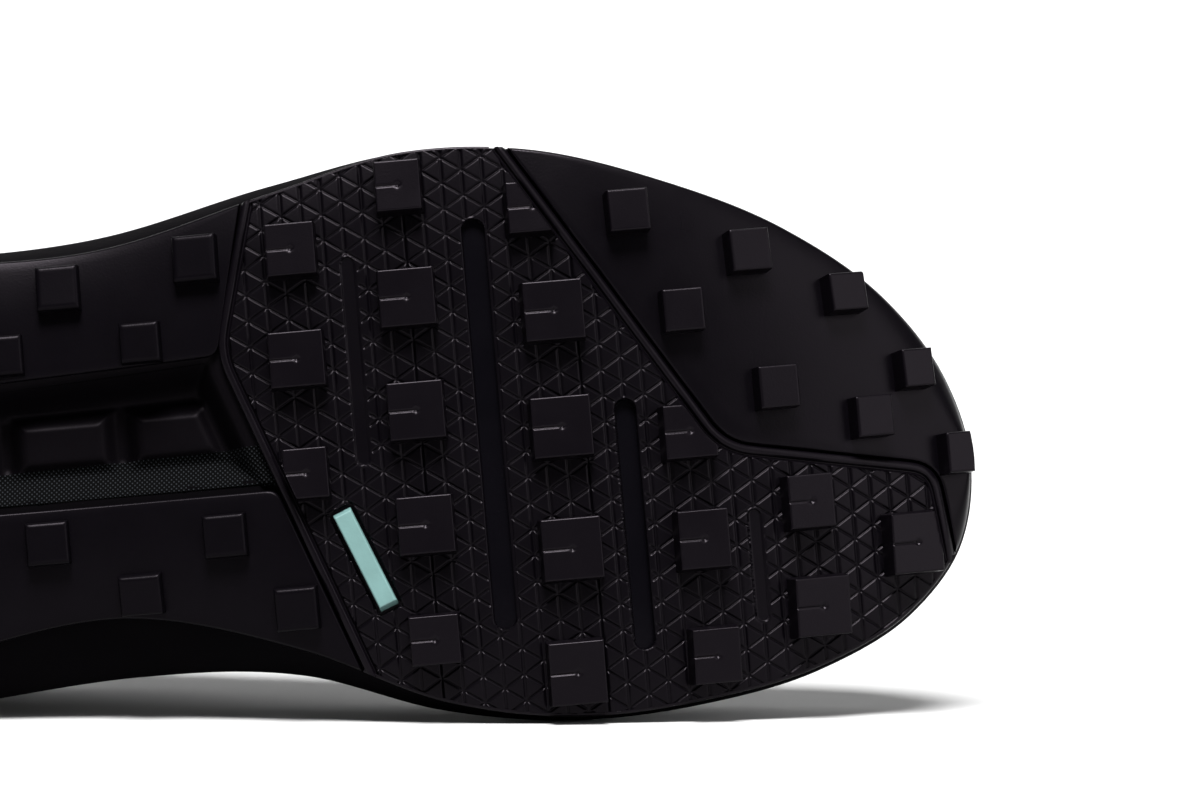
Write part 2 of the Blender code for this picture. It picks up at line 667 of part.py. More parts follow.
def build_tongue():
    """Strip under the throat that stands out above the top eyelets and ends under the vamp."""
    sections = [tongue_section(along) for along in np.linspace(*TONGUE_ENDS, 9)]
    top_way = sections[0] - sections[1]
    front_way = sections[-1] - sections[-2]
    top_way /= np.linalg.norm(top_way, axis=1).mean()
    front_way *= TONGUE_TUCK / np.linalg.norm(front_way, axis=1).mean()
    drop = np.array((0, 0, TONGUE_DROP))
    middle = sections[0].mean(axis=0)
    neck = middle + (sections[0] - middle) * TONGUE_NECK
    sections = [neck + top_way * stands for stands in TONGUE_STANDS] + sections
    sections.append(sections[-1] + front_way - drop)
    grid = np.array(sections)[:, ::-1]
    mesh = mesh_from("tongue", grid.reshape(-1, 3), grid_faces(*grid.shape[:2]), closed=False)
    solidify(new_object("tongue", mesh, "upper_textile"), TONGUE)


def tube(name, points, radius):
    """Closed tube along points, as a mesh that Booleans can join."""
    curve = bpy.data.curves.new(name, "CURVE")
    curve.dimensions = "3D"
    curve.bevel_depth = radius
    curve.bevel_resolution = 2
    curve.use_fill_caps = True
    spline = curve.splines.new("POLY")
    spline.points.add(len(points) - 1)
    for point, place in zip(spline.points, points):
        point.co = (*place, 1)
    guide = bpy.data.objects.new(name + "_guide", curve)
    bpy.context.scene.collection.objects.link(guide)
    bpy.context.view_layer.update()
    mesh = bpy.data.meshes.new_from_object(guide.evaluated_get(bpy.context.evaluated_depsgraph_get()))
    bpy.data.objects.remove(guide)
    form = bmesh.new()
    form.from_mesh(mesh)
    bmesh.ops.remove_doubles(form, verts=form.verts, dist=1e-6)
    form.to_mesh(mesh)
    form.free()
    mesh.name = name
    return mesh


def build_lace():
    """Crossings from each eyelet to the next row on the other side, and a bar at the lowest pair, joined."""
    clear = OVERLAY + LACE_RADIUS + LACE_CLEAR
    crown = TONGUE_CROWN - WALL - TONGUE_PLAY + LACE_RADIUS + GAP
    rows = eyelet_rows()

    def run(side, start, end):
        first, first_up = wall_place(side, start, EYELET_HEIGHT)
        brow, brow_up = wall_place(side, start + LACE_BROW * (end - start), 1)
        far_brow, far_brow_up = wall_place(-side, end - LACE_BROW * (end - start), 1)
        last, last_up = wall_place(-side, end, EYELET_HEIGHT)
        middle = throat_middle((start + end) / 2, max(crown, clear))[0]
        stops = [first + first_up * clear, brow + brow_up * clear, middle]
        stops += [far_brow + far_brow_up * clear, last + last_up * clear]
        knots = np.array((0, 0.25, 0.5, 0.75, 1))
        return hermite(knots, np.array(stops), np.linspace(0, 1, 7))

    runs = [run(side, a, b) for a, b in zip(rows, rows[1:]) for side in (INNER, OUTER)]
    runs.append(run(INNER, rows[-1], rows[-1]))
    lace = new_object("lace", tube("lace", runs[0], LACE_RADIUS), "lace_cord")
    for number, points in enumerate(runs[1:], 1):
        mesh = tube(f"lace_run_{number}", points, LACE_RADIUS)
        boolean(lace, "UNION", new_object(mesh.name, mesh, collection="cutters"))


def make_finishes():
    for name, (colour, roughness) in FINISHES.items():
        finish = bpy.data.materials.new(name)
        finish.use_nodes = True
        shader = finish.node_tree.nodes["Principled BSDF"]
        shader.inputs["Base Color"].default_value = (*colour, 1)
        shader.inputs["Roughness"].default_value = roughness


def main():
    for thing in list(bpy.data.objects):
        bpy.data.objects.remove(thing)
    for name in ("hiking_shoe", "cutters"):
        bpy.context.scene.collection.children.link(bpy.data.collections.new(name))
    pose = bpy.data.objects.new("lying_pose", None)
    pose.rotation_euler = (LIE_ROLL, LIE_PITCH, 0)
    pose.location = LIE_PLACE
    bpy.data.collections["hiking_shoe"].objects.link(pose)
    make_finishes()
    build_outsole()
    build_midsole()
    build_insole()
    build_upper()
    build_tongue()
    build_lace()


main()
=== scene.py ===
# %% [markdown]
# # A black hiking shoe, seen from below
# The shoe lies on its inner side and turns its tread to the camera. The packed solids already give every
# piece its size and place. They could be shown as they are, but rubber, foam and cloth have fine relief
# that the solids don't carry, so this lesson dresses them with surfaces of its own. Each surface is a
# function on a grid, worked out with numpy in the shoe's standing frame: X runs from heel to toe, Y
# towards the inner side, and Z up from the tips of the lugs. All lengths are in metres.

import bpy
import numpy as np
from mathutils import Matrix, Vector


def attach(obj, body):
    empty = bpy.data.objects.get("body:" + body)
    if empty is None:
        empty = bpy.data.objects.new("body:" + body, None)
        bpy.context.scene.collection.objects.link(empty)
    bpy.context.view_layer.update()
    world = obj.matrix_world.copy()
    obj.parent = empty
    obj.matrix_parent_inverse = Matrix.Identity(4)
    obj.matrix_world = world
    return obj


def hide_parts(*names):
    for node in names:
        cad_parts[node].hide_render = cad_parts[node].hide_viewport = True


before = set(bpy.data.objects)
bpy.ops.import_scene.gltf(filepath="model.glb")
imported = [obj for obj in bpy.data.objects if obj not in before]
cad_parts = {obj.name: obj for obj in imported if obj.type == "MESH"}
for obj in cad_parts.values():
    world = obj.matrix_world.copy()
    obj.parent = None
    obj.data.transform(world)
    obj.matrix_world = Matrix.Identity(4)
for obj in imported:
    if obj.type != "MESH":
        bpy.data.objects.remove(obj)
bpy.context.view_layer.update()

# %% [markdown]
# A sole is drawn by the outline of its tread, and the foam above it swells out a little further at the
# waist. The outline could be a Blender curve, but then its points would have to be read back from a mesh.
# A short table is easier to correct, and a cubic polynomial between its rows gives a smooth line for any
# number of points at once. The rows are those of the solids, with more swell at the inner side of the
# waist.

# %% Outline of the tread
INNER, OUTER = 1, -1
# X, Y of the inner and of the outer edge, swell of the foam on the inner and on the outer side
OUTLINE = np.array((
    (0.000, -0.0020, -0.0020, 0.0020, 0.0020),
    (0.004, 0.0150, -0.0190, 0.0020, 0.0020),
    (0.016, 0.0295, -0.0325, 0.0018, 0.0018),
    (0.045, 0.0380, -0.0420, 0.0015, 0.0015),
    (0.090, 0.0350, -0.0425, 0.0074, 0.0015),
    (0.138, 0.0293, -0.0426, 0.0104, 0.0030),
    (0.170, 0.0384, -0.0502, 0.0040, 0.0020),
    (0.196, 0.0504, -0.0560, 0.0010, 0.0002),
    (0.220, 0.0553, -0.0546, 0.0000, 0.0000),
    (0.245, 0.0545, -0.0466, 0.0000, 0.0000),
    (0.268, 0.0500, -0.0352, 0.0000, 0.0000),
    (0.286, 0.0412, -0.0202, 0.0000, 0.0000),
    (0.296, 0.0302, -0.0046, 0.0000, 0.0000),
    (0.300, 0.0130, 0.0130, 0.0000, 0.0000),
))
LENGTH = OUTLINE[-1, 0]


def hermite(knots, values, at):
    """Smooth curve through the values at the knots, with each slope taken between its neighbours."""
    slopes = np.gradient(values, knots, axis=0)
    low = np.clip(np.searchsorted(knots, at, side="right") - 1, 0, len(knots) - 2)
    span = knots[low + 1] - knots[low]
    t = (at - knots[low]) / span
    t, span = [v.reshape(v.shape + (1,) * (values.ndim - 1)) for v in (t, span)]
    rise = values[low + 1] - values[low]
    bend = (slopes[low] * (1 - t) - slopes[low + 1] * t) * span - rise * (1 - 2 * t)
    return values[low] + t * rise + t * (1 - t) * bend


print("outline:", len(OUTLINE), "rows over", round(1000 * LENGTH), "mm")

# %% [markdown]
# Many pieces of a shoe follow the edge of its sole: the foam's side, the rim, the upper, the insole. Each
# could have a curve of its own, but then they would drift apart. Instead each side of the outline is
# traced once, with its outward normals, and every piece asks for points at a share of the way from heel
# to toe, moved outwards or inwards by a distance.

# %% Edges of the tread


def trace_side(side, count=1200, step=1e-4):
    """Dense edge of one side from heel to toe: share of its length, place, outward normal and swell.

    The curve runs on round both ends with rows of the other side, so that its slope is right there too.
    """
    near, far = (1, 2) if side == INNER else (2, 1)
    rows, others = OUTLINE[:, (0, near, near + 2)], OUTLINE[:, (0, far, far + 2)]
    points = np.vstack((others[2:0:-1], rows, others[-2:-4:-1]))
    knots = np.append(0, np.cumsum(np.hypot(*np.diff(points[:, :2], axis=0).T)))
    at = np.linspace(knots[2], knots[-3], count)
    curve = hermite(knots, points, at)
    along = (hermite(knots, points, at + step) - hermite(knots, points, at - step))[:, :2]
    along /= np.linalg.norm(along, axis=1)[:, None]
    normal = side * np.stack((-along[:, 1], along[:, 0]), 1)
    run = np.append(0, np.cumsum(np.hypot(*np.diff(curve[:, :2], axis=0).T)))
    return run / run[-1], curve[:, :2], normal, curve[:, 2]


SIDES = {side: trace_side(side) for side in (INNER, OUTER)}


def edge(side, along, swell_share=0.0, out=0.0):
    """Points in plan on one side, moved outwards by a share of the swell and a distance, with normals."""
    share, place, normal, swell = SIDES[side]
    xy = np.stack([np.interp(along, share, place[:, k]) for k in (0, 1)], -1)
    away = np.stack([np.interp(along, share, normal[:, k]) for k in (0, 1)], -1)
    far = swell_share * np.interp(along, share, swell) + out
    return xy + away * np.asarray(far)[..., None], away


def side_y(side, x):
    """Y of the outline's edge at an X, read off the traced side."""
    return np.interp(x, *SIDES[side][1].T)


def between(side, first, last, count):
    """Even shares of a side's length from one X to another."""
    share, place = SIDES[side][:2]
    return np.linspace(*np.interp((first, last), place[:, 0], share), count)


BALL = 0.22
print("width at the ball:", round(1000 * float(side_y(INNER, BALL) - side_y(OUTER, BALL)), 1), "mm")

# %% [markdown]
# From the side, the tread of a hiking shoe bends up at the toe, lifts a little under the arch and has a
# bevel at the heel, so that the foot rolls. Sculpting would give such a form too, but formulas for the
# heights let lugs, grooves and foam all be set on the same ground: an arc, half a wave and a parabola,
# added up.

# %% Heights of the sole
# X, thickness of the foam under the foot, height of its side wall
STACK = np.array((
    (0.000, 0.0220, 0.0330),
    (0.050, 0.0240, 0.0340),
    (0.120, 0.0220, 0.0320),
    (0.200, 0.0150, 0.0210),
    (0.260, 0.0120, 0.0170),
    (0.300, 0.0095, 0.0120),
))
GAP, LUG_HEIGHT, OUTSOLE, RIM, WALL = 0.0003, 0.0040, 0.0030, 0.0065, 0.0020
TOE_START, TOE_RADIUS = 0.198, 0.230
HEEL_BEVEL, HEEL_RISE = 0.045, 0.005
ARCH_MIDDLE, ARCH_REACH, ARCH_RISE = 0.125, 0.050, 0.0025
EDGE_RISE = 0.0025


def spring(x):
    """Rise of the toe: an arc that starts behind the ball."""
    return TOE_RADIUS - np.sqrt(TOE_RADIUS ** 2 - np.clip(x - TOE_START, 0, None) ** 2)


def lift(x):
    """Rise of the tread's base: an arc at the toe, a parabola at the heel, half a wave at the arch."""
    heel = HEEL_RISE * (np.clip(HEEL_BEVEL - x, 0, None) / HEEL_BEVEL) ** 2
    arch = ARCH_RISE * np.cos(np.pi / 2 * np.clip((x - ARCH_MIDDLE) / ARCH_REACH, -1, 1)) ** 2
    return spring(x) + heel + arch


def tread(x, across):
    """Height of the tread's base: the lift, and a fourth power across, from -1 at the outer edge to 1."""
    return LUG_HEIGHT + lift(x) + EDGE_RISE * across ** 4


def base(x, y):
    """Height of the tread's base at a point in plan."""
    inner, outer = side_y(INNER, x), side_y(OUTER, x)
    return tread(x, np.clip((2 * y - inner - outer) / (inner - outer), -1, 1))


def footbed(x):
    """Height of the foam under the foot: the tread's base, the rubber, and the thickness from the table."""
    return LUG_HEIGHT + lift(x) + OUTSOLE + GAP + hermite(STACK[:, 0], STACK[:, 1], np.clip(x, 0, LENGTH))


def wall_height(x):
    """Height of the foam's side wall, from the table."""
    return hermite(STACK[:, 0], STACK[:, 2], np.clip(x, 0, LENGTH))


def rim_top(x):
    """Height of the rim that cups the upper: the tread's edge, the rubber and the side wall."""
    return tread(x, 1) + OUTSOLE + GAP + wall_height(x)


print("the toe rises", round(1000 * float(spring(LENGTH)), 1), "mm")

# %% [markdown]
# The shoe lies on the floor, but all its forms are simpler to write for a shoe that stands: there the
# tread is a height over X and Y. The objects could be turned at the end, but a finished piece keeps its
# object at the origin, so the points themselves are turned, once about X, once about Y, and moved, as the
# solids were.

# %% The lying pose
LIE_ROLL, LIE_PITCH = np.radians((-96.32, -4.92))
LIE_PLACE = np.array((-0.14921, -0.05636, 0.03809))
COS_ROLL, SIN_ROLL = np.cos(LIE_ROLL), np.sin(LIE_ROLL)
COS_PITCH, SIN_PITCH = np.cos(LIE_PITCH), np.sin(LIE_PITCH)
TURN_X = np.array(((1, 0, 0), (0, COS_ROLL, -SIN_ROLL), (0, SIN_ROLL, COS_ROLL)))
TURN_Y = np.array(((COS_PITCH, 0, SIN_PITCH), (0, 1, 0), (-SIN_PITCH, 0, COS_PITCH)))
LIE = TURN_Y @ TURN_X
TOE_SWING = np.array((0.050, -0.075, 0.0))


def lay(points):
    """Standing points carried into the lying pose: turned about X, then about Y, then moved.

    Before that, the toe swings towards the outer side in proportion to its rise, by 1.5 mm at its tip.
    """
    return (points + spring(points[..., :1]) * TOE_SWING) @ LIE.T + LIE_PLACE


print("the sole faces", np.round(-LIE[:, 2], 3))

# %% [markdown] Every piece of this shoe starts as a grid of points. Blender's own primitives could be
# bent into such forms with modifiers, but whole arrays are quicker, and each point stays where its
# formula says.

# %% From grids to pieces


def grid_quads(rows, columns, wrap=False):
    """Quads between neighbours of a grid of points, which may close on itself along its rows."""
    count = columns if wrap else columns - 1
    across, down = np.meshgrid(np.arange(count), np.arange(rows - 1))
    first, beside = down * columns + across, down * columns + (across + 1) % columns
    return np.stack((first, first + columns, beside + columns, beside), -1).reshape(-1, 4)


def repeated(quads, blocks):
    """Quads of one block, counted on by its number of points for each of an array of like blocks."""
    points_each = blocks.shape[1] * blocks.shape[2]
    return (quads[None] + points_each * np.arange(len(blocks))[:, None, None]).reshape(-1, 4)


def outward_faces(points, faces, facing):
    """The faces, all reversed if their normals point against the way that they should look.

    That way is the given one, or else away from the middle of all points.
    """
    corners = points[faces]
    normal = np.cross(corners[:, 1] - corners[:, 0], corners[:, 2] - corners[:, 0])
    if facing is None:
        sense = (normal * (corners.mean(1) - points.mean(0))).sum()
    else:
        sense = (normal @ np.asarray(facing, float)).sum()
    return faces[:, ::-1] if sense < 0 else faces


def add_piece(name, points, faces, finish, nodes, slot, facing=None, uv=None):
    """A smooth mesh of standing points that rides on the shoe and takes the place of its nodes."""
    points = np.asarray(points, float).reshape(-1, 3)
    faces = outward_faces(points, np.asarray(faces), facing)
    mesh = bpy.data.meshes.new(name)
    mesh.from_pydata(lay(points).tolist(), [], faces.tolist())
    if uv is not None:
        layer = mesh.uv_layers.new(name="weave")
        layer.data.foreach_set("uv", np.asarray(uv, float).reshape(-1, 2)[faces.ravel()].ravel())
    mesh.validate()
    mesh.polygons.foreach_set("use_smooth", np.ones(len(mesh.polygons), bool))
    mesh.materials.append(finish.material)
    thing = bpy.data.objects.new(name, mesh)
    bpy.context.scene.collection.objects.link(thing)
    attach(thing, "root")
    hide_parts(*nodes)
    print(f"{name}: {len(points)} points, {sum(len(p.vertices) - 2 for p in mesh.polygons)} triangles")
    return thing


def add_grid(name, grid, finish, nodes, slot, wrap=False, **more):
    """A piece from one grid of points, a row for each step along it."""
    return add_piece(name, grid, grid_quads(*grid.shape[:2], wrap=wrap), finish, nodes, slot, **more)


DOWN, UPWARDS = (0, 0, -1), (0, 0, 1)
print("a grid of 3 by 4 points has", len(grid_quads(3, 4)), "quads")

# %% [markdown]
# A finish is a small tree of shader nodes. Adding each node and link by hand takes many lines that hide
# the idea, so one small class stands for a node's output. Arithmetic on it adds Math nodes, and a sine of
# a coordinate can be written as it would be on paper.

# %% Arithmetic on sockets


class Wire:
    """One output of a finish's nodes; arithmetic on it adds Math nodes."""

    def __init__(self, finish, socket):
        self.finish, self.socket = finish, socket

    def math(self, operation, first, second=0.0):
        """A Math node that works on two values, each a number or a wire."""
        return self.finish.node("ShaderNodeMath", {"operation": operation}, {0: first, 1: second})

    def __add__(self, other):
        return self.math("ADD", self, other)

    def __sub__(self, other):
        return self.math("SUBTRACT", self, other)

    def __rsub__(self, other):
        return self.math("SUBTRACT", other, self)

    def __mul__(self, other):
        return self.math("MULTIPLY", self, other)

    __radd__, __rmul__ = __add__, __mul__

    def wave(self):
        """The sine of the value, in radians."""
        return self.math("SINE", self)


print("wires take", [name for name in vars(Wire) if name.startswith("__r") and name != "__repr__"])

# %% [markdown]
# Rubber, foam, film and cloth all use Blender's Principled shader and differ only in a few of its inputs.
# A group node could share them, but a class with one method for any node is easier to follow. Patterns
# read Object coordinates, or the UV map of a piece where threads have to follow its surface.

# %% A material with named inputs


class Finish:
    """A Principled material, with one method that adds any node and one that sets the shader's inputs."""

    def __init__(self, name, colour, roughness, **constants):
        self.material = bpy.data.materials.new(name)
        self.material.use_nodes = True
        self.tree = self.material.node_tree
        self.shader = self.tree.nodes["Principled BSDF"]
        self.put(**{"Base Color": (*colour, 1), "Roughness": roughness}, **constants)

    def node(self, kind, settings=None, inputs=None, output=0):
        """Any node: its settings first, then the values or wires of its sockets; returns one output."""
        made = self.tree.nodes.new(kind)
        for key, value in (settings or {}).items():
            setattr(made, key, value)
        self.connect(made, inputs or {})
        return Wire(self, made.outputs[output])

    def connect(self, made, inputs):
        """Wires are linked to a node's sockets, and plain values are set on them."""
        for key, value in inputs.items():
            if isinstance(value, Wire):
                self.tree.links.new(value.socket, made.inputs[key])
            else:
                made.inputs[key].default_value = value

    def put(self, **inputs):
        """Inputs of the shader, with an underscore for each space in their names."""
        self.connect(self.shader, {key.replace("_", " "): value for key, value in inputs.items()})

    def noise(self, scale, detail=3.0):
        """Noise on Object coordinates, between 0 and 1."""
        place = self.node("ShaderNodeTexCoord", output=3)
        return self.node("ShaderNodeTexNoise", None,
                         {"Vector": place, "Scale": scale, "Detail": detail, "Roughness": 0.55})

    def weave_axes(self):
        """The two coordinates of the piece's own UV map, in metres."""
        uv = self.node("ShaderNodeUVMap", {"uv_map": "weave"})
        parts = self.node("ShaderNodeSeparateXYZ", None, {0: uv})
        return parts, Wire(self, parts.socket.node.outputs[1])

    def mix(self, share, first, second):
        """Colour between two colours, by a share."""
        mixed = self.node("ShaderNodeMix", {"data_type": "RGBA"}, {0: share}, output=2)
        self.connect(mixed.socket.node, {6: (*first, 1), 7: (*second, 1)})
        return mixed

    def bump(self, height, strength, distance):
        """Normals tilted by the slope of a height."""
        inputs = {"Height": height, "Strength": strength, "Distance": distance}
        return self.node("ShaderNodeBump", None, inputs)


print("a finish has", [name for name in vars(Finish) if not name.startswith("_")])

# %% [markdown]
# The tread is black moulded rubber and the side is black foam, whose colour and sheen are painted a little
# darker than the channel's foam as painted shade for the side under the waist. A single flat colour would
# look like plastic: real rubber has a fine grain, and its sheen wanders a little where the mould is worn.
# Noise at three scales gives that. The pads, slots and wings were moulded with different polish, so each
# has its own sheen, and a tint turns their reflections slightly purple, as in the photograph.

# %% Rubber and foam
CLOUD_SCALE, GRAIN_SCALE, PATCH_SCALE = 60.0, 2600.0, 220.0
WANDER, LIGHTER, GRAIN_HEIGHT = 0.07, 1.35, 0.0002


def rubber(name, colour, roughness, shine, grain=0.10):
    """Moulded rubber: a fine grain as bump, a roughness that wanders, and patches of a lighter colour."""
    made = Finish(name, colour, roughness, Specular_IOR_Level=shine)
    cloud = made.noise(CLOUD_SCALE, 4.0)
    fine = made.noise(GRAIN_SCALE, 2.0)
    made.put(Roughness=cloud * (2 * WANDER) + (roughness - WANDER))
    made.put(Normal=made.bump(fine, grain, GRAIN_HEIGHT))
    lighter = tuple(LIGHTER * value for value in colour)
    made.put(**{"Base Color": made.mix(made.noise(PATCH_SCALE), colour, lighter)})
    return made


TREAD_RUBBER = rubber("tread_rubber", (0.0011, 0.0008, 0.0013), 0.32, 0.095)
FIELD_RUBBER = rubber("field_rubber", (0.0008, 0.0006, 0.0010), 0.32, 0.074)
PAD_RUBBER = rubber("pad_rubber", (0.0009, 0.0007, 0.0011), 0.30, 0.074)
SLOT_RUBBER = rubber("slot_rubber", (0.0009, 0.0008, 0.0013), 0.26, 0.068)
WING_RUBBER = rubber("wing_rubber", (0.0009, 0.0007, 0.0011), 0.34, 0.048)
# The side's foam is black foam with a darker colour and a weaker sheen than channel_foam: painted shade for
# the side under the waist.
MIDSOLE_FOAM_AND_SHADE = rubber("midsole_foam", (0.0006, 0.0005, 0.0007), 0.72, 0.022)
CHANNEL_FOAM = rubber("channel_foam", (0.0008, 0.0006, 0.0009), 0.46, 0.034)
for tinted in (TREAD_RUBBER, FIELD_RUBBER, PAD_RUBBER, SLOT_RUBBER, WING_RUBBER, MIDSOLE_FOAM_AND_SHADE, CHANNEL_FOAM):
    tinted.put(Specular_Tint=(1.0, 0.88, 1.0, 1.0))
TAB_RUBBER = rubber("tab_rubber", (0.084, 0.153, 0.147), 0.45, 0.36)
OVERLAY_FILM = rubber("overlay_film", (0.0029, 0.0028, 0.0031), 0.56, 0.10, grain=0.25)
THREAD = rubber("thread", (0.0220, 0.0212, 0.0226), 0.60, 0.15)
print("rubber, foam, film and thread:", len(bpy.data.materials), "finishes")

# %% [markdown]
# Cloth shows its threads from close by. An image of a weave would do, but a formula needs no file and
# never runs out of sharpness: two crossing sine waves on the piece's UV map lift and lighten the threads.
# The channel's cloth is the coarsest, and its threads stand out most.

# %% Cloth and cord
CLOTH_ROUGH, THREAD_HEIGHT = 0.85, 0.0004


def cloth(name, colour, thread, pitch, depth=0.5, gain=1.6, bias=0.0, shine=0.1):
    """Woven cloth: the product of two sine waves, one for each axis of the UV map, gives the threads."""
    made = Finish(name, colour, CLOTH_ROUGH, Specular_IOR_Level=shine)
    u, v = made.weave_axes()
    turn = 2 * np.pi / pitch
    threads = (u * turn).wave() * (v * turn).wave()
    made.put(**{"Base Color": made.mix(threads * gain - bias, colour, thread)})
    made.put(Normal=made.bump(threads * 0.5 + 0.5, depth, THREAD_HEIGHT))
    return made


CHANNEL_CLOTH = cloth("channel_cloth", (0.0001, 0.0001, 0.0002), (0.0120, 0.0132, 0.0150), 0.00095,
                      depth=0.9, gain=2.2, bias=0.7, shine=0.04)
UPPER_TEXTILE = cloth("upper_textile", (0.0012, 0.0011, 0.0013), (0.0095, 0.0091, 0.0099), 0.0020, depth=0.9)
LINING_TEXTILE = cloth("lining_textile", (0.0026, 0.0025, 0.0027), (0.0110, 0.0107, 0.0113), 0.0012)
LACE_CORD = cloth("lace_cord", (0.0029, 0.0029, 0.0031), (0.0175, 0.0171, 0.0182), 0.0012, depth=0.9)
print("finishes:", [material.name for material in bpy.data.materials])

# %% [markdown]
# The rubber of this sole is glued on in three pads, and the seams between them are straight runs with
# rounded corners. A boolean cut could part the pads, but it often leaves ragged meshes. Here each seam is
# a line of a few points, and the pads are laid out from it on both sides.

# %% Borders of the pads
REAR_BORDER = np.array(((0.1690, -0.0660), (0.1572, -0.0202), (0.1900, 0.0680)))
FRONT_BORDER = np.array(((0.2090, -0.0665), (0.2533, 0.0056), (0.2933, 0.0135), (0.2972, 0.0460)))
CORNER, PAD_GAP, BEAD = 0.005, 0.0004, 0.0023


def rounded(line, radius, steps=8):
    """The line with each inner corner replaced by a quadratic curve, which starts one radius before it."""
    result = [line[:1]]
    t = np.linspace(0, 1, steps + 1)[:, None]
    for before, corner, after in zip(line, line[1:], line[2:]):
        start = corner + (before - corner) / np.linalg.norm(before - corner) * radius
        end = corner + (after - corner) / np.linalg.norm(after - corner) * radius
        result.append(start * (1 - t) ** 2 + corner * 2 * t * (1 - t) + end * t ** 2)
    return np.vstack(result + [line[-1:]])


def evenly(line, count):
    """Points at even steps along a line, by its running length."""
    run = np.append(0, np.cumsum(np.linalg.norm(np.diff(line, axis=0), axis=1)))
    at = np.linspace(0, run[-1], count)
    return np.stack([np.interp(at, run, line[:, k]) for k in range(line.shape[1])], -1)


def left_normals(line):
    """Unit normals on the left of a line in plan: its direction turned by a right angle."""
    way = np.gradient(line, axis=0)
    return np.stack((-way[:, 1], way[:, 0]), 1) / np.linalg.norm(way, axis=1)[:, None]


REAR, FRONT = rounded(REAR_BORDER, CORNER), rounded(FRONT_BORDER, CORNER)
print("borders:", len(REAR), "and", len(FRONT), "points")

# %% [markdown]
# Grooves, pads and lugs all end at a border or at the outline. To find out which points lie where, each
# line gets a signed distance: positive on one side, negative on the other. Points close to the edge can
# then be moved onto it along the distance's own slope, which keeps every edge clean without cutting a
# single face.

# %% Distances on the tread
LOOP = np.vstack((SIDES[OUTER][1][::8], SIDES[INNER][1][::-8]))


def left_of(line, x, y):
    """Signed distance of points from a bent line, positive on its left: that of its nearest straight run."""
    start, run = line[:-1], np.diff(line, axis=0)
    from_start = np.stack((x, y), -1)[..., None, :] - start
    t = np.clip((from_start * run).sum(-1) / (run ** 2).sum(-1), 0, 1)
    gap = np.linalg.norm(from_start - t[..., None] * run, axis=-1)
    nearest = gap.argmin(-1)[..., None]
    hand = np.sign(run[:, 0] * from_start[..., 1] - run[:, 1] * from_start[..., 0])
    return np.take_along_axis(gap * hand, nearest, -1)[..., 0]


def inside_outline(x, y, step=1e-4):
    """Distance of points inside the tread's outline, from its Y at the same X and its slope there."""
    gaps = []
    for side in (INNER, OUTER):
        slope = (side_y(side, x + step) - side_y(side, x - step)) / (2 * step)
        gaps.append(side * (side_y(side, x) - y) / np.sqrt(1 + slope ** 2))
    return np.minimum(*gaps)


def slid(x, y, gap, move, step=2e-5):
    """Points moved down a distance's own slope, by an amount for each."""
    slope_x = (gap(x + step, y) - gap(x - step, y)) / (2 * step)
    slope_y = (gap(x, y + step) - gap(x, y - step)) / (2 * step)
    return x - move * slope_x, y - move * slope_y


def drawn(x, y, gap, reach):
    """Points closer than reach to where a distance is 0, moved there."""
    here = gap(x, y)
    return slid(x, y, gap, np.where(np.abs(here) < reach, here, 0))


def kept_inside(x, y, gap):
    """Points where a distance is below 0, moved back to where it is 0."""
    return slid(x, y, gap, np.minimum(gap(x, y), 0))


inside_ball = float(inside_outline(np.array(BALL), 0.0))
print("middle of the ball inside the outline:", round(1000 * inside_ball, 1), "mm")

# %% [markdown]
# Long slots across the forefoot let the sole flex, and a pocket holds the small bar of turquoise rubber.
# Their forms are plain enough for formulas: a slot is everything near a line segment, a pocket everything
# within a turned rectangle. As distances they can be cut into the pad's own grid, so that no second mesh
# has to meet it.

# %% Flex slots and pocket
# X and Y of the middle, length, width
SLOTS = ((0.1840, -0.0162, 0.0405, 0.0028), (0.2086, -0.0021, 0.0796, 0.0046),
         (0.2347, 0.0196, 0.0486, 0.0042), (0.2575, 0.0297, 0.0219, 0.0027))
SLOT_DEPTH, SHALLOW, WIDE_SLOT = 0.0018, 0.0004, 0.004
SLOT_LIP, LIP_DEPTH, HAIR = 0.0003, 0.00005, 0.00005
TAB_PLACE, TAB_SIZE, TAB_TURN = (0.1828, 0.0219), (0.0038, 0.0207), np.radians(-22)
POCKET_PLAY, POCKET_DEPTH = 0.0008, 0.0014


def slot_gap(x, y, slot):
    """Distance from a slot with round ends, below 0 in it: that from its middle line, less half its width."""
    middle_x, middle_y, length, width = slot
    beyond = np.clip(np.abs(y - middle_y) - (length - width) / 2, 0, None)
    return np.hypot(x - middle_x, beyond) - width / 2


def pocket_gap(x, y):
    """Distance outside the pocket, below 0 inside it: the larger of those across and along the turned bar."""
    dx, dy = x - TAB_PLACE[0], y - TAB_PLACE[1]
    across = np.abs(dx * np.cos(TAB_TURN) + dy * np.sin(TAB_TURN)) - TAB_SIZE[0] / 2
    along = np.abs(dy * np.cos(TAB_TURN) - dx * np.sin(TAB_TURN)) - TAB_SIZE[1] / 2
    return np.maximum(across, along) - POCKET_PLAY


print("slots:", [round(1000 * length, 1) for *_, length, _ in SLOTS], "mm long")

# %% [markdown]
# The field of the forefoot pad is covered with a lattice of fine grooves that sheds mud: one family runs
# across the shoe and two slant. A bump map would look flat from close by, and displacing a plain grid
# would leave saw teeth along the slanting grooves. So the grid itself is spaced so that all three
# families run along its lines and diagonals, and each quad is split along the diagonal on which a groove
# runs.

# %% Lattice of grooves
PITCH_ALONG, PITCH_ACROSS, CUTS = 0.00393, 0.00502, 16
PHASE, LEAN = np.array((0.19945, -0.00169)), 0.038
GROOVE, GROOVE_HALF = 0.00038, 0.00032
STRAIGHT, STRAIGHT_FLOOR, STRAIGHT_HALF = 0.00055, 0.00002, 0.00036
FIELD_ROWS, FIELD_COLUMNS = (-11, 26), (-24, 24)
EDGE, REACH = 0.0004, 0.00014


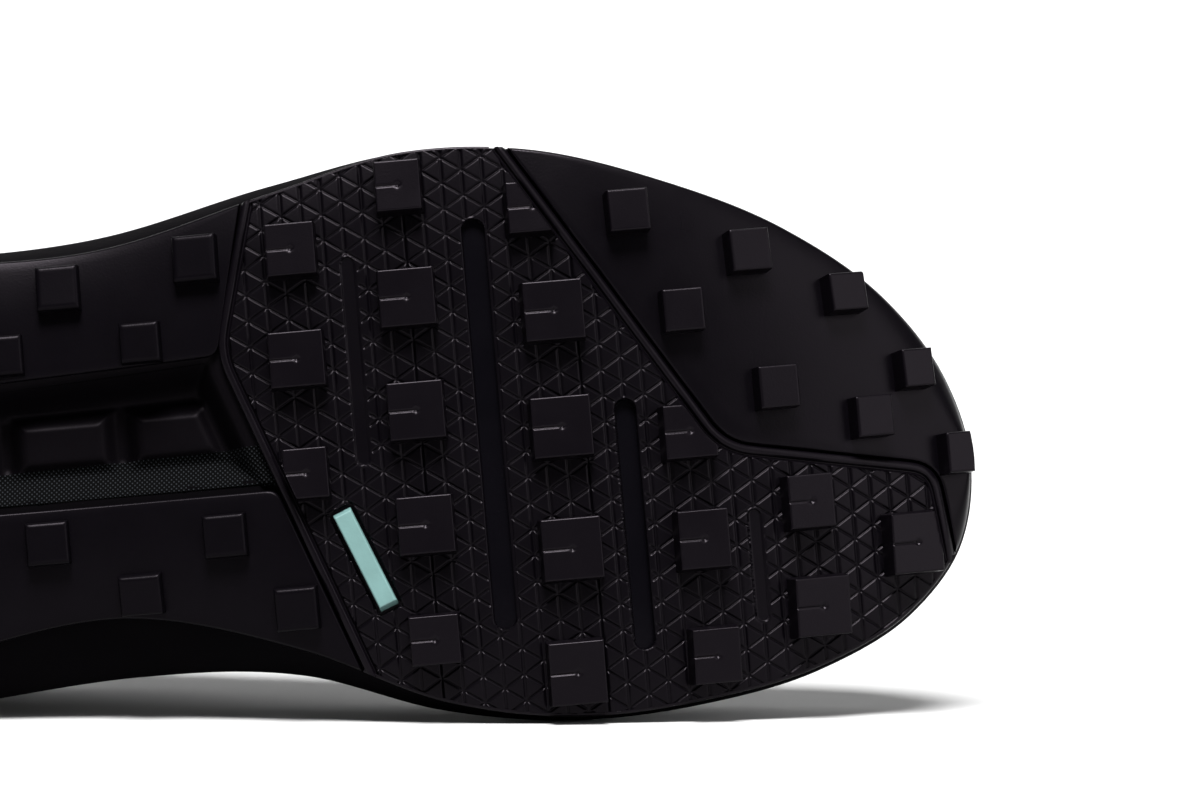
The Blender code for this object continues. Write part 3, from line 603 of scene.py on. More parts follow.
def smoothstep(low, high, value):
    """0 below low, 1 above high, and 3t^2 - 2t^3 between them."""
    t = np.clip((value - low) / (high - low), 0, 1)
    return t * t * (3 - 2 * t)


def unrolled(s):
    """X of a point at a distance s along the tread, which is straight and then bends up on an arc."""
    return np.where(s < TOE_START, s, TOE_START + TOE_RADIUS * np.sin((s - TOE_START) / TOE_RADIUS))


def lattice_depth(s, y):
    """Depth of the grooves, a V for the slanting ones and a soft trough for the straight ones.

    Distances come from the fraction of a pitch to the nearest groove; also tells where a slant rises with X.
    """
    a, b = (s - PHASE[0]) / PITCH_ALONG, (y - PHASE[1] - LEAN * (s - PHASE[0])) / PITCH_ACROSS
    apart = PITCH_ACROSS * PITCH_ALONG / np.hypot(PITCH_ALONG, PITCH_ACROSS / 2)
    rise, fall = [np.abs(v - np.round(v)) * apart for v in (b - a / 2, b + a / 2)]
    slanting = GROOVE * np.clip(1 - np.minimum(rise, fall) / GROOVE_HALF, 0, 1)
    from_straight = np.abs(a - np.round(a)) * PITCH_ALONG
    straight = STRAIGHT * (1 - smoothstep(STRAIGHT_FLOOR, STRAIGHT_HALF, from_straight))
    return np.maximum(slanting, straight), rise < fall


def forefoot_room(x, y):
    """Distance inside the lattice's field: from both beads and from the outline."""
    field = np.minimum(-left_of(REAR, x, y), left_of(FRONT, x, y)) - BEAD
    return np.minimum(field, inside_outline(x, y) - EDGE)


print("a triangle of the lattice is", PITCH_ALONG * 1000, "by", PITCH_ACROSS * 1000, "mm")

# %% [markdown]
# With the distances at hand, the field is one array: grooves first, then slots and pocket sunk into it,
# and every point near an edge drawn onto that edge. It is handed over in three parts, because one mesh of
# this size would be heavy, and the floors of the wide slots are a part of their own with a smoother
# finish.

# %% Forefoot pad


def forefoot_field():
    """Points of the field's grid, the quads that are kept, those in a wide slot, and how each is split."""
    step_s, step_y = PITCH_ALONG / CUTS, PITCH_ACROSS / 2 / CUTS
    s, y = np.meshgrid(step_s * np.arange(FIELD_ROWS[0] * CUTS, FIELD_ROWS[1] * CUTS + 1),
                       step_y * np.arange(FIELD_COLUMNS[0] * CUTS, FIELD_COLUMNS[1] * CUTS), indexing="ij")
    s, y = PHASE[0] + s, PHASE[1] + y + LEAN * s
    depth, rising = lattice_depth(s, y)
    x = unrolled(s)
    room = forefoot_room(x, y)
    x, y = drawn(x, y, forefoot_room, REACH)
    in_slot = np.zeros(x.shape, bool)
    for slot in SLOTS:
        wide = slot[3] > WIDE_SLOT
        x, y = drawn(x, y, lambda a, b, slot=slot: slot_gap(a, b, slot), REACH)
        beside = slot_gap(x, y, slot)
        depth = np.where(beside < SLOT_LIP, LIP_DEPTH, depth)
        depth = np.where(beside < -HAIR, SLOT_DEPTH if wide else SHALLOW, depth)
        in_slot |= (beside < -HAIR) & wide
    x, y = drawn(x, y, pocket_gap, REACH)
    depth = np.where(pocket_gap(x, y) < -HAIR, POCKET_DEPTH, depth)
    quads = [v[:-1, :-1] & v[1:, :-1] & v[:-1, 1:] & v[1:, 1:] for v in (room > -REACH, in_slot)]
    return np.stack((x, y, base(x, y) + depth), -1), *quads, rising[:-1, :-1]


def split_quads(shape, keep, rising):
    """Two triangles for each kept quad, split along the diagonal on which a groove runs."""
    index = np.arange(shape[0] * shape[1]).reshape(shape)
    a, b, c, d = index[:-1, :-1], index[1:, :-1], index[1:, 1:], index[:-1, 1:]
    up = np.stack((np.stack((a, b, c), -1), np.stack((a, c, d), -1)), -2)
    down = np.stack((np.stack((a, b, d), -1), np.stack((b, c, d), -1)), -2)
    return np.where(rising[..., None, None], up, down)[keep].reshape(-1, 3)


def add_field(name, finish, chosen):
    """The chosen quads of the field as a piece, with only the points that they use."""
    triangles = split_quads(field.shape[:2], chosen, rises)
    used = np.unique(triangles)
    renumber = np.zeros(field.shape[0] * field.shape[1], int)
    renumber[used] = np.arange(len(used))
    points = field.reshape(-1, 3)[used]
    add_piece(name, points, renumber[triangles], finish, ["outsole_forefoot"], "tread_rubber", facing=DOWN)


field, kept, sunk, rises = forefoot_field()
pitch_row = np.arange(kept.shape[0])[:, None] // CUTS
for number, (first, last) in enumerate(((0, 10), (10, 18), (18, 40)), 1):
    in_part = (pitch_row >= first) & (pitch_row < last)
    add_field(f"forefoot_lattice_{number}", FIELD_RUBBER, kept & ~sunk & in_part)
add_field("flex_slots", SLOT_RUBBER, kept & sunk)

# %% [markdown]
# Along both borders the forefoot pad ends in a smooth bead with a groove beside it, and along the outline
# its edge is rolled over. Blender's curve bevel could sweep such a profile, but it knows nothing of the
# ground on which it lies. Here the profile is a short table of distances and depths, carried along a line
# in plan and set on the curved base of the tread.

# %% Beads and edges of the forefoot pad
# distance from the line inwards, depth into the sole
BEAD_PROFILE = np.array((
    (0.0000, 0.0030), (0.0000, 0.0006), (0.0001, 0.0002), (0.00035, -0.0001), (0.0006, -0.0002),
    (0.0009, -0.00024), (0.0012, -0.0002), (0.0014, -0.0001), (0.0016, 0.0002), (0.00172, 0.0006),
    (0.0020, 0.0006), (0.00215, 0.0002), (0.0023, 0.0000)))
EDGE_PROFILE = np.array(((0.0006, 0.00004), (0.0004, 0.0), (0.0002, 0.00004), (0.00006, 0.00014),
                         (0.0, 0.00035), (0.0, 0.0007), (0.0, 0.0030)))
FOREFOOT_EDGES = (("outer", OUTER, 0.1650, 0.2130), ("inner", INNER, 0.1805, 0.2957))
BEAD_OVERRUN = 0.0012


def carry(line, inwards, profile):
    """A profile of distance and depth carried along a line in plan, kept inside the tread's outline."""
    x = line[:, 0, None] + inwards[:, 0, None] * profile[None, :, 0]
    y = line[:, 1, None] + inwards[:, 1, None] * profile[None, :, 0]
    y = np.clip(y, side_y(OUTER, x), side_y(INNER, x))
    return np.stack((x, y, base(x, y) + profile[None, :, 1]), -1)


def bead_grid(border, hand, count=220):
    """The bead's profile along a border, as far as the outline; hand is 1 for a bead on the border's left."""
    line = evenly(border, count)
    line = line[inside_outline(line[:, 0], line[:, 1]) > -BEAD_OVERRUN]
    return carry(line, hand * left_normals(line), BEAD_PROFILE)


def edge_grid(side, first, last, count=160):
    """The rolled edge's profile along one side, from one X to another."""
    line, away = edge(side, between(side, first, last, count))
    return carry(line, -away, EDGE_PROFILE)


for name, border, hand in (("rear", REAR, -1), ("front", FRONT, 1)):
    add_grid(f"{name}_bead", bead_grid(border, hand), TREAD_RUBBER, ["outsole_forefoot"], "tread_rubber",
             facing=DOWN)
for name, *where in FOREFOOT_EDGES:
    add_grid(f"forefoot_edge_{name}", edge_grid(*where), TREAD_RUBBER, ["outsole_forefoot"], "tread_rubber",
             facing=DOWN)

# %% [markdown]
# The toe pad is smooth rubber between a border and the outline round the toe. It could be cut from a
# plate, but its edges would need a bevel that follows two different curves. A point of it is simply some
# way across from one line to the other, and both edges are rolled over by a quarter circle before the
# wall drops to the foam.

# %% Toe pad
ROLL_RADIUS = 0.0006
ROLL_STEPS = np.array((0.0, 0.00004, 0.00014, 0.00035, ROLL_RADIUS))
ROLL_SHARE = 0.45


def pad_between(near, far, count=14):
    """Grid across a pad between two lines: skirts, edges on a quarter circle, even steps in the middle."""
    length = np.linalg.norm(far - near, axis=1)[:, None]
    step = np.minimum(ROLL_STEPS[None], ROLL_SHARE * length)
    middle = step[:, -1:] + (length - 2 * step[:, -1:]) * np.linspace(0, 1, count)[None, 1:-1]
    reach = np.hstack((0 * length, step, middle, length - step[:, ::-1], length))
    drop = ROLL_RADIUS - np.sqrt(ROLL_RADIUS ** 2 - (ROLL_RADIUS - ROLL_STEPS) ** 2)
    depth = np.concatenate(((OUTSOLE,), drop, np.zeros(count - 2), drop[::-1], (OUTSOLE,)))
    way = (far - near) / np.maximum(length, 1e-9)
    xy = near[:, None] + way[:, None] * reach[..., None]
    return np.dstack((xy, base(xy[..., 0], xy[..., 1]) + depth))


def toe_pad(count=260):
    """From the front border, moved forwards by the gap, to the outline round the toe, both at even steps."""
    border = evenly(FRONT, 400)
    border = border - left_normals(border) * PAD_GAP
    border = border[inside_outline(border[:, 0], border[:, 1]) > 0]
    ends = (OUTER, border[0, 0]), (INNER, border[-1, 0])
    outer, inner = [between(side, x, LENGTH, 200) for side, x in ends]
    rim = np.vstack((edge(OUTER, outer)[0], edge(INNER, inner[::-1])[0][1:]))
    return pad_between(evenly(border, count), evenly(rim, count))


add_grid("toe_pad", toe_pad(), PAD_RUBBER, ["outsole_toe"], "tread_rubber", facing=DOWN)

# %% [markdown]
# The heel pad reaches forwards with two wings along the waist and leaves an open channel between them. It
# is a horseshoe, which a plain rectangle of points can't cover. But it lies between two lines as well:
# the channel's edge on the inside, and the outline on the outside. Each corner of the inner line is given
# its own X on the outline, and the points between follow.

# %% Heel pad
CHANNEL_BACK, CHANNEL_INNER, CHANNEL_CORNER = 0.072, 0.0071, -0.0196
CHANNEL_EDGE = np.array(((CHANNEL_BACK, -0.0150), (0.116, -0.0180)))
CHANNEL_ROUND = 0.002
OPPOSITE_X = (0.148, 0.108, 0.040, 0.040, 0.152)


def heel_pad(count=420):
    """From the rear border round the open channel and back, each point paired with one on the outline."""
    seam = evenly(REAR, 400)
    seam = seam + left_normals(seam) * PAD_GAP
    seam = seam[inside_outline(seam[:, 0], seam[:, 1]) > 0]
    corner_out, corner_in = [seam[np.abs(seam[:, 1] - y).argmin()] for y in (CHANNEL_CORNER, CHANNEL_INNER)]
    corner_back = (CHANNEL_BACK, CHANNEL_INNER)
    stops = np.array((seam[0], corner_out, *CHANNEL_EDGE[::-1], corner_back, corner_in, seam[-1]))
    opposite = (seam[0, 0], *OPPOSITE_X, seam[-1, 0])
    turns = [side * np.interp(x, SIDES[side][1][:, 0], SIDES[side][0])
             for x, side in zip(opposite, (OUTER,) * 4 + (INNER,) * 3)]
    run = np.append(0, np.cumsum(np.linalg.norm(np.diff(stops, axis=0), axis=1)))
    near = evenly(rounded(stops, CHANNEL_ROUND, 5), count)
    turn = np.interp(np.linspace(0, run[-1], count), run, turns)
    far = np.where((turn < 0)[:, None], edge(OUTER, np.abs(turn))[0], edge(INNER, np.abs(turn))[0])
    return pad_between(near, far)


add_grid("heel_pad", heel_pad(), WING_RUBBER, ["outsole_heel"], "tread_rubber", facing=DOWN)

# %% [markdown]
# Lugs are the blocks that bite into the ground. On this sole they stand in loose rows and no two rows are
# alike, so an array modifier would not place them. A table has a row for each lug instead, with its
# middle, length and width. Forefoot, toe and heel have a table each, because their lugs differ in height
# and in their edges.

# %% Places of the lugs
FOREFOOT_LUGS = np.array((
    (0.1735, -0.0383, 0.0101, 0.0108), (0.1730, -0.0173, 0.0112, 0.0114), (0.1730, 0.0047, 0.0090, 0.0103),
    (0.1950, -0.0487, 0.0093, 0.0105), (0.1950, -0.0273, 0.0114, 0.0118), (0.1950, -0.0055, 0.0114, 0.0118),
    (0.1950, 0.0165, 0.0114, 0.0118), (0.1950, 0.0383, 0.0101, 0.0100), (0.2200, -0.0425, 0.0104, 0.0106),
    (0.2224, -0.0224, 0.0122, 0.0122), (0.2221, 0.0000, 0.0122, 0.0124), (0.2221, 0.0235, 0.0122, 0.0126),
    (0.2212, 0.0469, 0.0114, 0.0128), (0.2460, 0.0030, 0.0108, 0.0110), (0.2469, 0.0239, 0.0105, 0.0120),
    (0.2474, 0.0460, 0.0098, 0.0112), (0.2675, 0.0185, 0.0097, 0.0110), (0.2680, 0.0386, 0.0116, 0.0120),
    (0.2867, 0.0282, 0.0112, 0.0124)))
TOE_LUGS = np.array((
    (0.2379, -0.0403, 0.0085, 0.0088), (0.2600, -0.0307, 0.0085, 0.0088), (0.2467, -0.0204, 0.0085, 0.0088),
    (0.2776, -0.0210, 0.0080, 0.0080), (0.2633, -0.0041, 0.0085, 0.0088), (0.2896, -0.0052, 0.0070, 0.0080),
    (0.2808, 0.0032, 0.0080, 0.0085), (0.2968, 0.0117, 0.0070, 0.0085)))
HEEL_LUGS = np.array((
    (0.1550, -0.0384, 0.0088, 0.0094), (0.1432, -0.0233, 0.0080, 0.0080), (0.1280, -0.0350, 0.0085, 0.0090),
    (0.1164, -0.0230, 0.0080, 0.0080), (0.1000, -0.0340, 0.0085, 0.0090), (0.0885, -0.0225, 0.0080, 0.0080),
    (0.1691, 0.0301, 0.0085, 0.0085), (0.1565, 0.0151, 0.0085, 0.0085), (0.1394, 0.0247, 0.0085, 0.0080),
    (0.1222, 0.0136, 0.0085, 0.0085), (0.1050, 0.0235, 0.0085, 0.0085), (0.0880, 0.0145, 0.0085, 0.0085),
    (0.0700, -0.0340, 0.0112, 0.0114), (0.0700, 0.0290, 0.0112, 0.0114), (0.0520, -0.0180, 0.0112, 0.0114),
    (0.0520, 0.0140, 0.0112, 0.0114), (0.0330, -0.0310, 0.0112, 0.0114), (0.0330, 0.0270, 0.0112, 0.0114),
    (0.0170, -0.0130, 0.0105, 0.0114), (0.0170, 0.0090, 0.0105, 0.0114)))
WING_COUNT = 12
TOE_LUG_SCALE = (1, 1, 0.95, 0.95)
print("lugs at forefoot, toe and heel:", len(FOREFOOT_LUGS), len(TOE_LUGS), len(HEEL_LUGS))

# %% [markdown]
# A lug is a tapered block with softened edges, and the large ones have a slit that runs from the heel
# side to a pinhole in the middle. A cube with a Bevel modifier would do for one, but the slit would have
# to be cut. Here a lug is one grid: up the wall, round the edge, across the tip, with close lines where
# the slit goes, and the height is a formula. All lugs of a pad are worked out in one go, each on the
# slope of the tread where it stands.

# %% Shape of a lug
LUG_TAPER, LUG_ROOT, BEVEL_ROOM, ON_TIP = 0.94, 0.0012, 1.5, 0.4
SLIT_ALONG = np.array((-0.8, -0.45, -0.2, 0.0, 0.2, 0.45, 0.8)) * 1e-3
SLIT_ACROSS = np.array((-0.9, -0.55, -0.32, -0.20, -0.07, 0.07, 0.20, 0.32, 0.55, 0.9)) * 1e-3
SLIT_HALF, SLIT_END, PINHOLE, PINHOLE_DEEPER, PINHOLE_FLOOR = 0.00033, 0.0001, 0.00055, 1.5, 1.15


def tread_axes(x, y, step=0.001):
    """Point of the tread's base and the axes of a piece on it, from the slopes: along, across, and up."""
    slope_x = (base(x + step, y) - base(x - step, y)) / (2 * step)
    slope_y = (base(x, y + step) - base(x, y - step)) / (2 * step)
    along = np.stack((np.ones_like(x), 0 * x, slope_x), -1)
    up = np.stack((-slope_x, -slope_y, np.ones_like(x)), -1)
    along /= np.linalg.norm(along, axis=-1)[..., None]
    up /= np.linalg.norm(up, axis=-1)[..., None]
    return np.stack((x, y, base(x, y)), -1), along, np.cross(up, along), up


def lug_axis(half, height, bevel, middle, taper, lines):
    """Steps across a lug on one axis: wall, edge on a quarter circle, even lines, close ones midway."""
    tip = half[:, None] * taper
    angle = np.radians((0, 30, 60, 90))
    out = np.hstack((half[:, None], tip - bevel * (1 - np.cos(angle))))
    rise = np.append(LUG_ROOT, bevel * (1 - np.sin(angle)) - height)
    away = middle[-1] + (tip - BEVEL_ROOM * bevel - middle[-1]) * np.linspace(0, 1, lines + 1)[None, 1:]
    inner = np.hstack((-away[:, ::-1], np.repeat(middle[None], len(half), 0), away))
    flat = np.full(inner.shape[1], -height)
    return np.hstack((-out, inner, out[:, ::-1])), np.concatenate((rise, flat, rise[::-1]))


def lug_grid(rows, height, bevel, slit, taper=LUG_TAPER, lines=2):
    """All lugs of a pad: each the lower of two walls, less the slit's trough and the pinhole's cone."""
    x, y, length, width = rows.T
    a, rise_a = lug_axis(length / 2, height, bevel, SLIT_ALONG, taper, lines)
    b, rise_b = lug_axis(width / 2, height, bevel, SLIT_ACROSS, taper, lines)
    c = np.maximum(rise_a[:, None], rise_b[None, :])[None]
    a, b = a[:, :, None], b[:, None, :]
    cut = slit * (1 - smoothstep(0.0, SLIT_HALF, np.abs(b))) * (a < SLIT_END)
    hole = PINHOLE_DEEPER * slit * np.clip(PINHOLE_FLOOR - np.hypot(a, b) / PINHOLE, 0, 1)
    c = np.maximum(c, np.where(c < -height * ON_TIP, np.maximum(cut, hole) - height, c))
    place, along, across, up = [axis[:, None, None] for axis in tread_axes(x, y)]
    shape = np.broadcast(a, b, c).shape
    a, b, c = [np.broadcast_to(v, shape)[..., None] for v in (a, b, c)]
    return place + a * along + b * across + c * up


print("points of a lug:", lug_grid(HEEL_LUGS[-1:], LUG_HEIGHT, 0.0003, 0.0003).shape[1:3])

# %% [markdown]
# Near a border or the outline a mould cuts its lugs off, and they end in a sheer wall. A boolean with the
# border would give that, but the same distances as before do it without one: points that lie past the
# edge slide back to it. The lugs of the wings are lower and rounder than the others.

# %% Lugs
BEAD_ROOM, OVERHANG = 0.0001, 0.0006
CUT_LINES, PLAIN_LINES = 10, 2


def within_beads(x, y):
    """Distance inside the two beads of the forefoot pad."""
    return np.minimum(-left_of(REAR, x, y), left_of(FRONT, x, y)) - BEAD - BEAD_ROOM


def within_outline(x, y):
    """Distance inside a line a little outside the outline, past which no lug reaches."""
    return left_of(LOOP, x, y) + OVERHANG


def add_lugs(name, rows, node, height, bevel, slit, room=None, taper=LUG_TAPER, finish=TREAD_RUBBER):
    """Lugs of one pad; where a room is given, they are cut off at its edge."""
    blocks = lug_grid(rows, height, bevel, slit, taper, CUT_LINES if room else PLAIN_LINES)
    if room:
        x, y, z = np.moveaxis(blocks, -1, 0)
        cut_x, cut_y = kept_inside(x, y, room)
        blocks = np.stack((cut_x, cut_y, z + base(cut_x, cut_y) - base(x, y)), -1)
    add_piece(name, blocks, repeated(grid_quads(*blocks.shape[1:3]), blocks), finish, [node], "tread_rubber",
              facing=DOWN)


add_lugs("forefoot_lugs", FOREFOOT_LUGS, "outsole_forefoot", height=LUG_HEIGHT, bevel=0.0003, slit=0.0003,
         room=within_beads)
add_lugs("toe_lugs", TOE_LUGS * TOE_LUG_SCALE, "outsole_toe", height=0.0042, bevel=0.0004, slit=0.0,
         room=within_outline, taper=0.98)
add_lugs("wing_lugs", HEEL_LUGS[:WING_COUNT], "outsole_heel", height=0.0030, bevel=0.0008, slit=0.0,
         room=within_outline, taper=0.97, finish=WING_RUBBER)
add_lugs("heel_lugs", HEEL_LUGS[WING_COUNT:], "outsole_heel", height=LUG_HEIGHT, bevel=0.0003, slit=0.0003)

# %% [markdown]
# A small bar of turquoise rubber is set into the forefoot pad, the one spot of colour on the sole. It
# could be a cube with a bevel, but it has to sit on the slope of the tread and turned in its pocket. So
# it borrows a lug's grid, which knows the slope, and is turned about the tread's own up axis.

# %% Grip tab
TAB_STANDS, TAB_BEVEL = 0.0008, 0.0003


def tab_grid():
    """A lug's grid in the axes of its place, turned about the up axis and put back."""
    rows = np.array(((*TAB_PLACE, *TAB_SIZE),))
    grid = lug_grid(rows, TAB_STANDS, TAB_BEVEL, 0.0)[0]
    place, along, across, up = [axis[0] for axis in tread_axes(rows[:, 0], rows[:, 1])]
    local = (grid - place) @ np.stack((along, across, up), -1)
    cos, sin = np.cos(TAB_TURN), np.sin(TAB_TURN)
    turn = np.array(((cos, -sin, 0), (sin, cos, 0), (0, 0, 1)))
    return place + local @ turn.T @ np.stack((along, across, up), 0)


add_grid("grip_tab_bar", tab_grid(), TAB_RUBBER, ["grip_tab"], "tab_rubber", facing=DOWN)

# %% [markdown]
# The foam above the rubber has a stepped side with a groove round it, and a raised rim that cups the
# upper. Like the bead it is a profile carried along a line, only this line is the whole outline and
# closes on itself. Shares of the wall's height, rather than heights, let the same profile stretch from
# the low toe to the high heel.

# %% Side of the midsole
# share of the wall's height, share of the swell, distance outwards
WALL_RINGS = np.array((
    (0.00, 0.00, -0.0030), (0.00, 0.00, -0.0010), (0.04, 0.20, -0.0004), (0.10, 0.45, 0.0000),
    (0.20, 0.85, 0.0005), (0.28, 1.00, 0.0005), (0.38, 1.00, 0.0003), (0.44, 1.00, -0.0001),
    (0.465, 1.00, -0.0007), (0.48, 1.00, -0.0016), (0.50, 1.00, -0.0019), (0.54, 1.00, -0.0019),
    (0.565, 1.00, -0.0017), (0.585, 1.00, -0.0010), (0.61, 1.00, -0.0008), (0.75, 1.00, -0.0014),
    (0.88, 1.00, -0.0021), (0.95, 1.00, -0.0027), (0.985, 1.00, -0.0034), (1.00, 1.00, -0.0042),
    (1.00, 1.00, -0.0060), (0.99, 1.00, -0.0065), (0.70, 1.00, -0.0065)))
ROUND = np.linspace(0, 1, 181)


def outline_ring(share, swell_share, out):
    """Closed loop at a share of the wall's height: heel to toe on the inner side, back on the outer one."""
    xy = np.vstack([edge(side, along, swell_share, out)[0]
                    for side, along in ((INNER, ROUND[:-1]), (OUTER, ROUND[:0:-1]))])
    return np.column_stack((xy, tread(xy[:, 0], 1) + OUTSOLE + GAP + share * wall_height(xy[:, 0])))


side_rings = np.stack([outline_ring(*ring) for ring in WALL_RINGS])
# This foam carries painted shade: it is darker and duller than the foam of the channel.
add_grid("midsole_side", side_rings, MIDSOLE_FOAM_AND_SHADE, ["midsole"], "midsole_foam", wrap=True)

# %% [markdown]
# Under the waist the wings leave a channel open, in which the foam shows with soft blocks, and woven
# cloth on the slope of its inner side. The basin could be carved with booleans and smoothed, but as a
# depth over a grid it is one formula: the least of four walls that rise from the edges, less the blocks.
# The grid is then parted where the cloth begins.

# %% Channel under the waist
CHANNEL_DEPTH, CHANNEL_START, CHANNEL_UNDERLAP = 0.0075, 0.0016, 0.0012
CHANNEL_OUTER_FRONT, CHANNEL_INNER_FRONT = (0.1580, -0.0204), (0.1676, CHANNEL_INNER)
# distances from an edge at which its wall begins and ends
OUTER_SLOPE, INNER_SLOPE = (0.0006, 0.0085), (0.0004, 0.0105)
FRONT_SLOPE, BACK_SLOPE = (0.0016, 0.0075), (-0.001, 0.012)
# first and last X of each block
BLOCKS = ((0.0925, 0.1139), (0.1157, 0.1364), (0.1383, 0.1700))
BLOCK_MIDDLE, BLOCK_HALF, BLOCK_FRONT = -0.0056, 0.0062, 0.0056
BLOCK_HEIGHT, BLOCK_SOFT = 0.0030, (-0.0034, 0.0006)
FOLD_DEPTH, FOLD = 0.0016, (0.0020, 0.0028)
WEAVE_FROM = 0.0095


def channel_basin(rows=150, columns=90):
    """Points of the basin, their UV map in plan, and their distance from the inner edge."""
    outer = evenly(np.vstack((CHANNEL_EDGE, CHANNEL_OUTER_FRONT)), rows) - (0, CHANNEL_UNDERLAP)
    inner = evenly(np.array(((CHANNEL_BACK, CHANNEL_INNER), CHANNEL_INNER_FRONT)), rows)
    inner = inner + (0, CHANNEL_UNDERLAP)
    share = np.linspace(0, 1, columns)[None, :, None]
    xy = outer[:, None] * (1 - share) + inner[:, None] * share
    x, y = xy[..., 0], xy[..., 1]
    front = left_of(REAR, x, y)
    from_outer, from_inner = [np.abs(y - line[:, None, 1]) for line in (outer, inner)]
    depth = np.minimum(smoothstep(*OUTER_SLOPE, from_outer), smoothstep(*INNER_SLOPE, from_inner))
    depth = np.minimum(depth, smoothstep(*FRONT_SLOPE, front)) * CHANNEL_DEPTH
    depth = np.minimum(depth, CHANNEL_DEPTH * smoothstep(*BACK_SLOPE, x - CHANNEL_BACK))
    for first, last in BLOCKS:
        beside = np.maximum(np.maximum(first - x, x - last),
                            np.maximum(np.abs(y - BLOCK_MIDDLE) - BLOCK_HALF, BLOCK_FRONT - front))
        depth = depth - BLOCK_HEIGHT * (1 - smoothstep(*BLOCK_SOFT, beside)) * depth / CHANNEL_DEPTH
    depth = depth + FOLD_DEPTH * (1 - smoothstep(*FOLD, from_inner))
    return np.dstack((x, y, base(x, y) + CHANNEL_START + depth)), xy, from_inner


basin, basin_uv, from_inner_edge = channel_basin()
weave_column = int((from_inner_edge[len(basin) // 2] > WEAVE_FROM).sum())
add_grid("channel_floor", basin[:, :weave_column + 1], CHANNEL_FOAM, ["midsole"], "midsole_foam", facing=DOWN)
add_grid("channel_slope", basin[:, weave_column:], CHANNEL_CLOTH, ["midsole"], "midsole_foam", facing=DOWN,
         uv=basin_uv[:, weave_column:])

# %% [markdown]
# Between the pads one can see a little way up to the foam. Without a surface there, light would leak
# through the gaps. A plain sheet just behind the rubber closes them: its rows run from side to side at
# each X, and the quads over the open channel are left out.

# %% Underside of the midsole
SHEET_BEHIND, SHEET_MARGIN = 0.0001, 0.0005
OPEN_BACK, OPEN_FRONT, OPEN_SIDE = 0.002, 0.0020, 0.001


def underside(rows=300, columns=61):
    """Points between the two sides of the outline, behind the rubber, and the quads outside the channel."""
    x = np.linspace(SHEET_MARGIN, LENGTH - SHEET_MARGIN, rows)[:, None]
    share = np.linspace(0, 1, columns)[None]
    y = side_y(OUTER, x) * (1 - share) + side_y(INNER, x) * share
    x = np.broadcast_to(x, y.shape)
    outer_edge = np.interp(x, *np.vstack((CHANNEL_EDGE, CHANNEL_OUTER_FRONT)).T)
    is_open = (x > CHANNEL_BACK + OPEN_BACK) & (left_of(REAR, x, y) > OPEN_FRONT)
    is_open &= (y > outer_edge + OPEN_SIDE) & (y < CHANNEL_INNER - OPEN_SIDE)
    left_out = is_open[:-1, :-1] & is_open[1:, :-1] & is_open[:-1, 1:] & is_open[1:, 1:]
    return np.dstack((x, y, base(x, y) + OUTSOLE - SHEET_BEHIND)), grid_quads(*y.shape)[~left_out.ravel()]


# The sheet uses the side's foam, with its painted shade.
add_piece("midsole_underside", *underside(), MIDSOLE_FOAM_AND_SHADE, ["midsole"], "midsole_foam", facing=DOWN)

# %% [markdown]
# The upper is sewn from cloth and pulled over a last, so it bulges over the sole and draws in towards the
# collar and the throat. Cloth simulation could find such a form, but a last is a designed shape: each of
# its lines is a cubic Bezier curve that leaves the rim upwards and falls away from the top edge. A table
# gives the top edge from the heel to the vamp, and how each line leaves and arrives.

# %% Wall of the upper
# place along the side, X, Y of the inner and of the outer edge, Z, lean outwards above the rim, length of the
# rise, fall at the top edge in degrees, length of the fall
TOPLINE = np.array((
    (0.00, 0.0060, -0.0020, -0.0020, 0.1030, 0.0030, 0.42, 80, 0.30),
    (0.03, 0.0080, 0.0075, -0.0115, 0.1028, 0.0030, 0.42, 80, 0.30),
    (0.10, 0.0160, 0.0170, -0.0210, 0.1010, 0.0030, 0.42, 82, 0.30),
    (0.20, 0.0420, 0.0305, -0.0330, 0.0930, 0.0025, 0.42, 88, 0.30),
    (0.29, 0.0760, 0.0345, -0.0365, 0.0880, 0.0030, 0.42, 88, 0.30),
    (0.37, 0.1030, 0.0295, -0.0310, 0.0970, 0.0040, 0.42, 76, 0.34),
    (0.43, 0.1180, 0.0200, -0.0230, 0.1070, 0.0040, 0.44, 58, 0.38),
    (0.52, 0.1460, 0.0170, -0.0200, 0.0920, 0.0040, 0.48, 44, 0.42),
    (0.63, 0.1740, 0.0130, -0.0160, 0.0780, 0.0030, 0.55, 34, 0.46),
    (0.76, 0.1940, 0.0080, -0.0100, 0.0700, 0.0020, 0.78, 20, 0.48),
    (1.00, 0.2010, -0.0010, -0.0010, 0.0675, 0.0010, 1.25, 4, 0.50),
))


def wall_curve(side, along, up):
    """Cubic Bezier curve from the rim, up 0, to the top edge, up 1; up has a row for each step."""
    xy, away = edge(side, along, 1, -RIM - GAP)
    foot = np.column_stack((xy, rim_top(xy[:, 0])))
    x, inner, outer, z, lean, rise, fall, reach = hermite(TOPLINE[:, 0], TOPLINE[:, 1:], along).T
    top = np.column_stack((x, inner if side == INNER else outer, z))
    away = np.column_stack((away, np.zeros(len(away))))
    height = np.array(UPWARDS) * (top[:, 2] - foot[:, 2])[:, None]
    slope = np.radians(fall)[:, None]
    down = away * np.cos(slope) - np.array(UPWARDS) * np.sin(slope)
    second = top + down * (reach * np.linalg.norm(top - foot, axis=1))[:, None]
    first = foot + height * rise[:, None] + away * lean[:, None]
    t = up[..., None]
    return (1 - t) ** 3 * foot + 3 * t * (1 - t) ** 2 * first + 3 * t ** 2 * (1 - t) * second + t ** 3 * top


def upper_face(turn, up):
    """The upper's outer face; turn is -1 and 1 at the heel, 0 at the toe, below 0 on the outer side."""
    along = 1 - np.abs(turn)
    inner, outer = wall_curve(INNER, along, up), wall_curve(OUTER, along, up)
    return np.where((turn >= 0)[None, :, None], inner, outer)


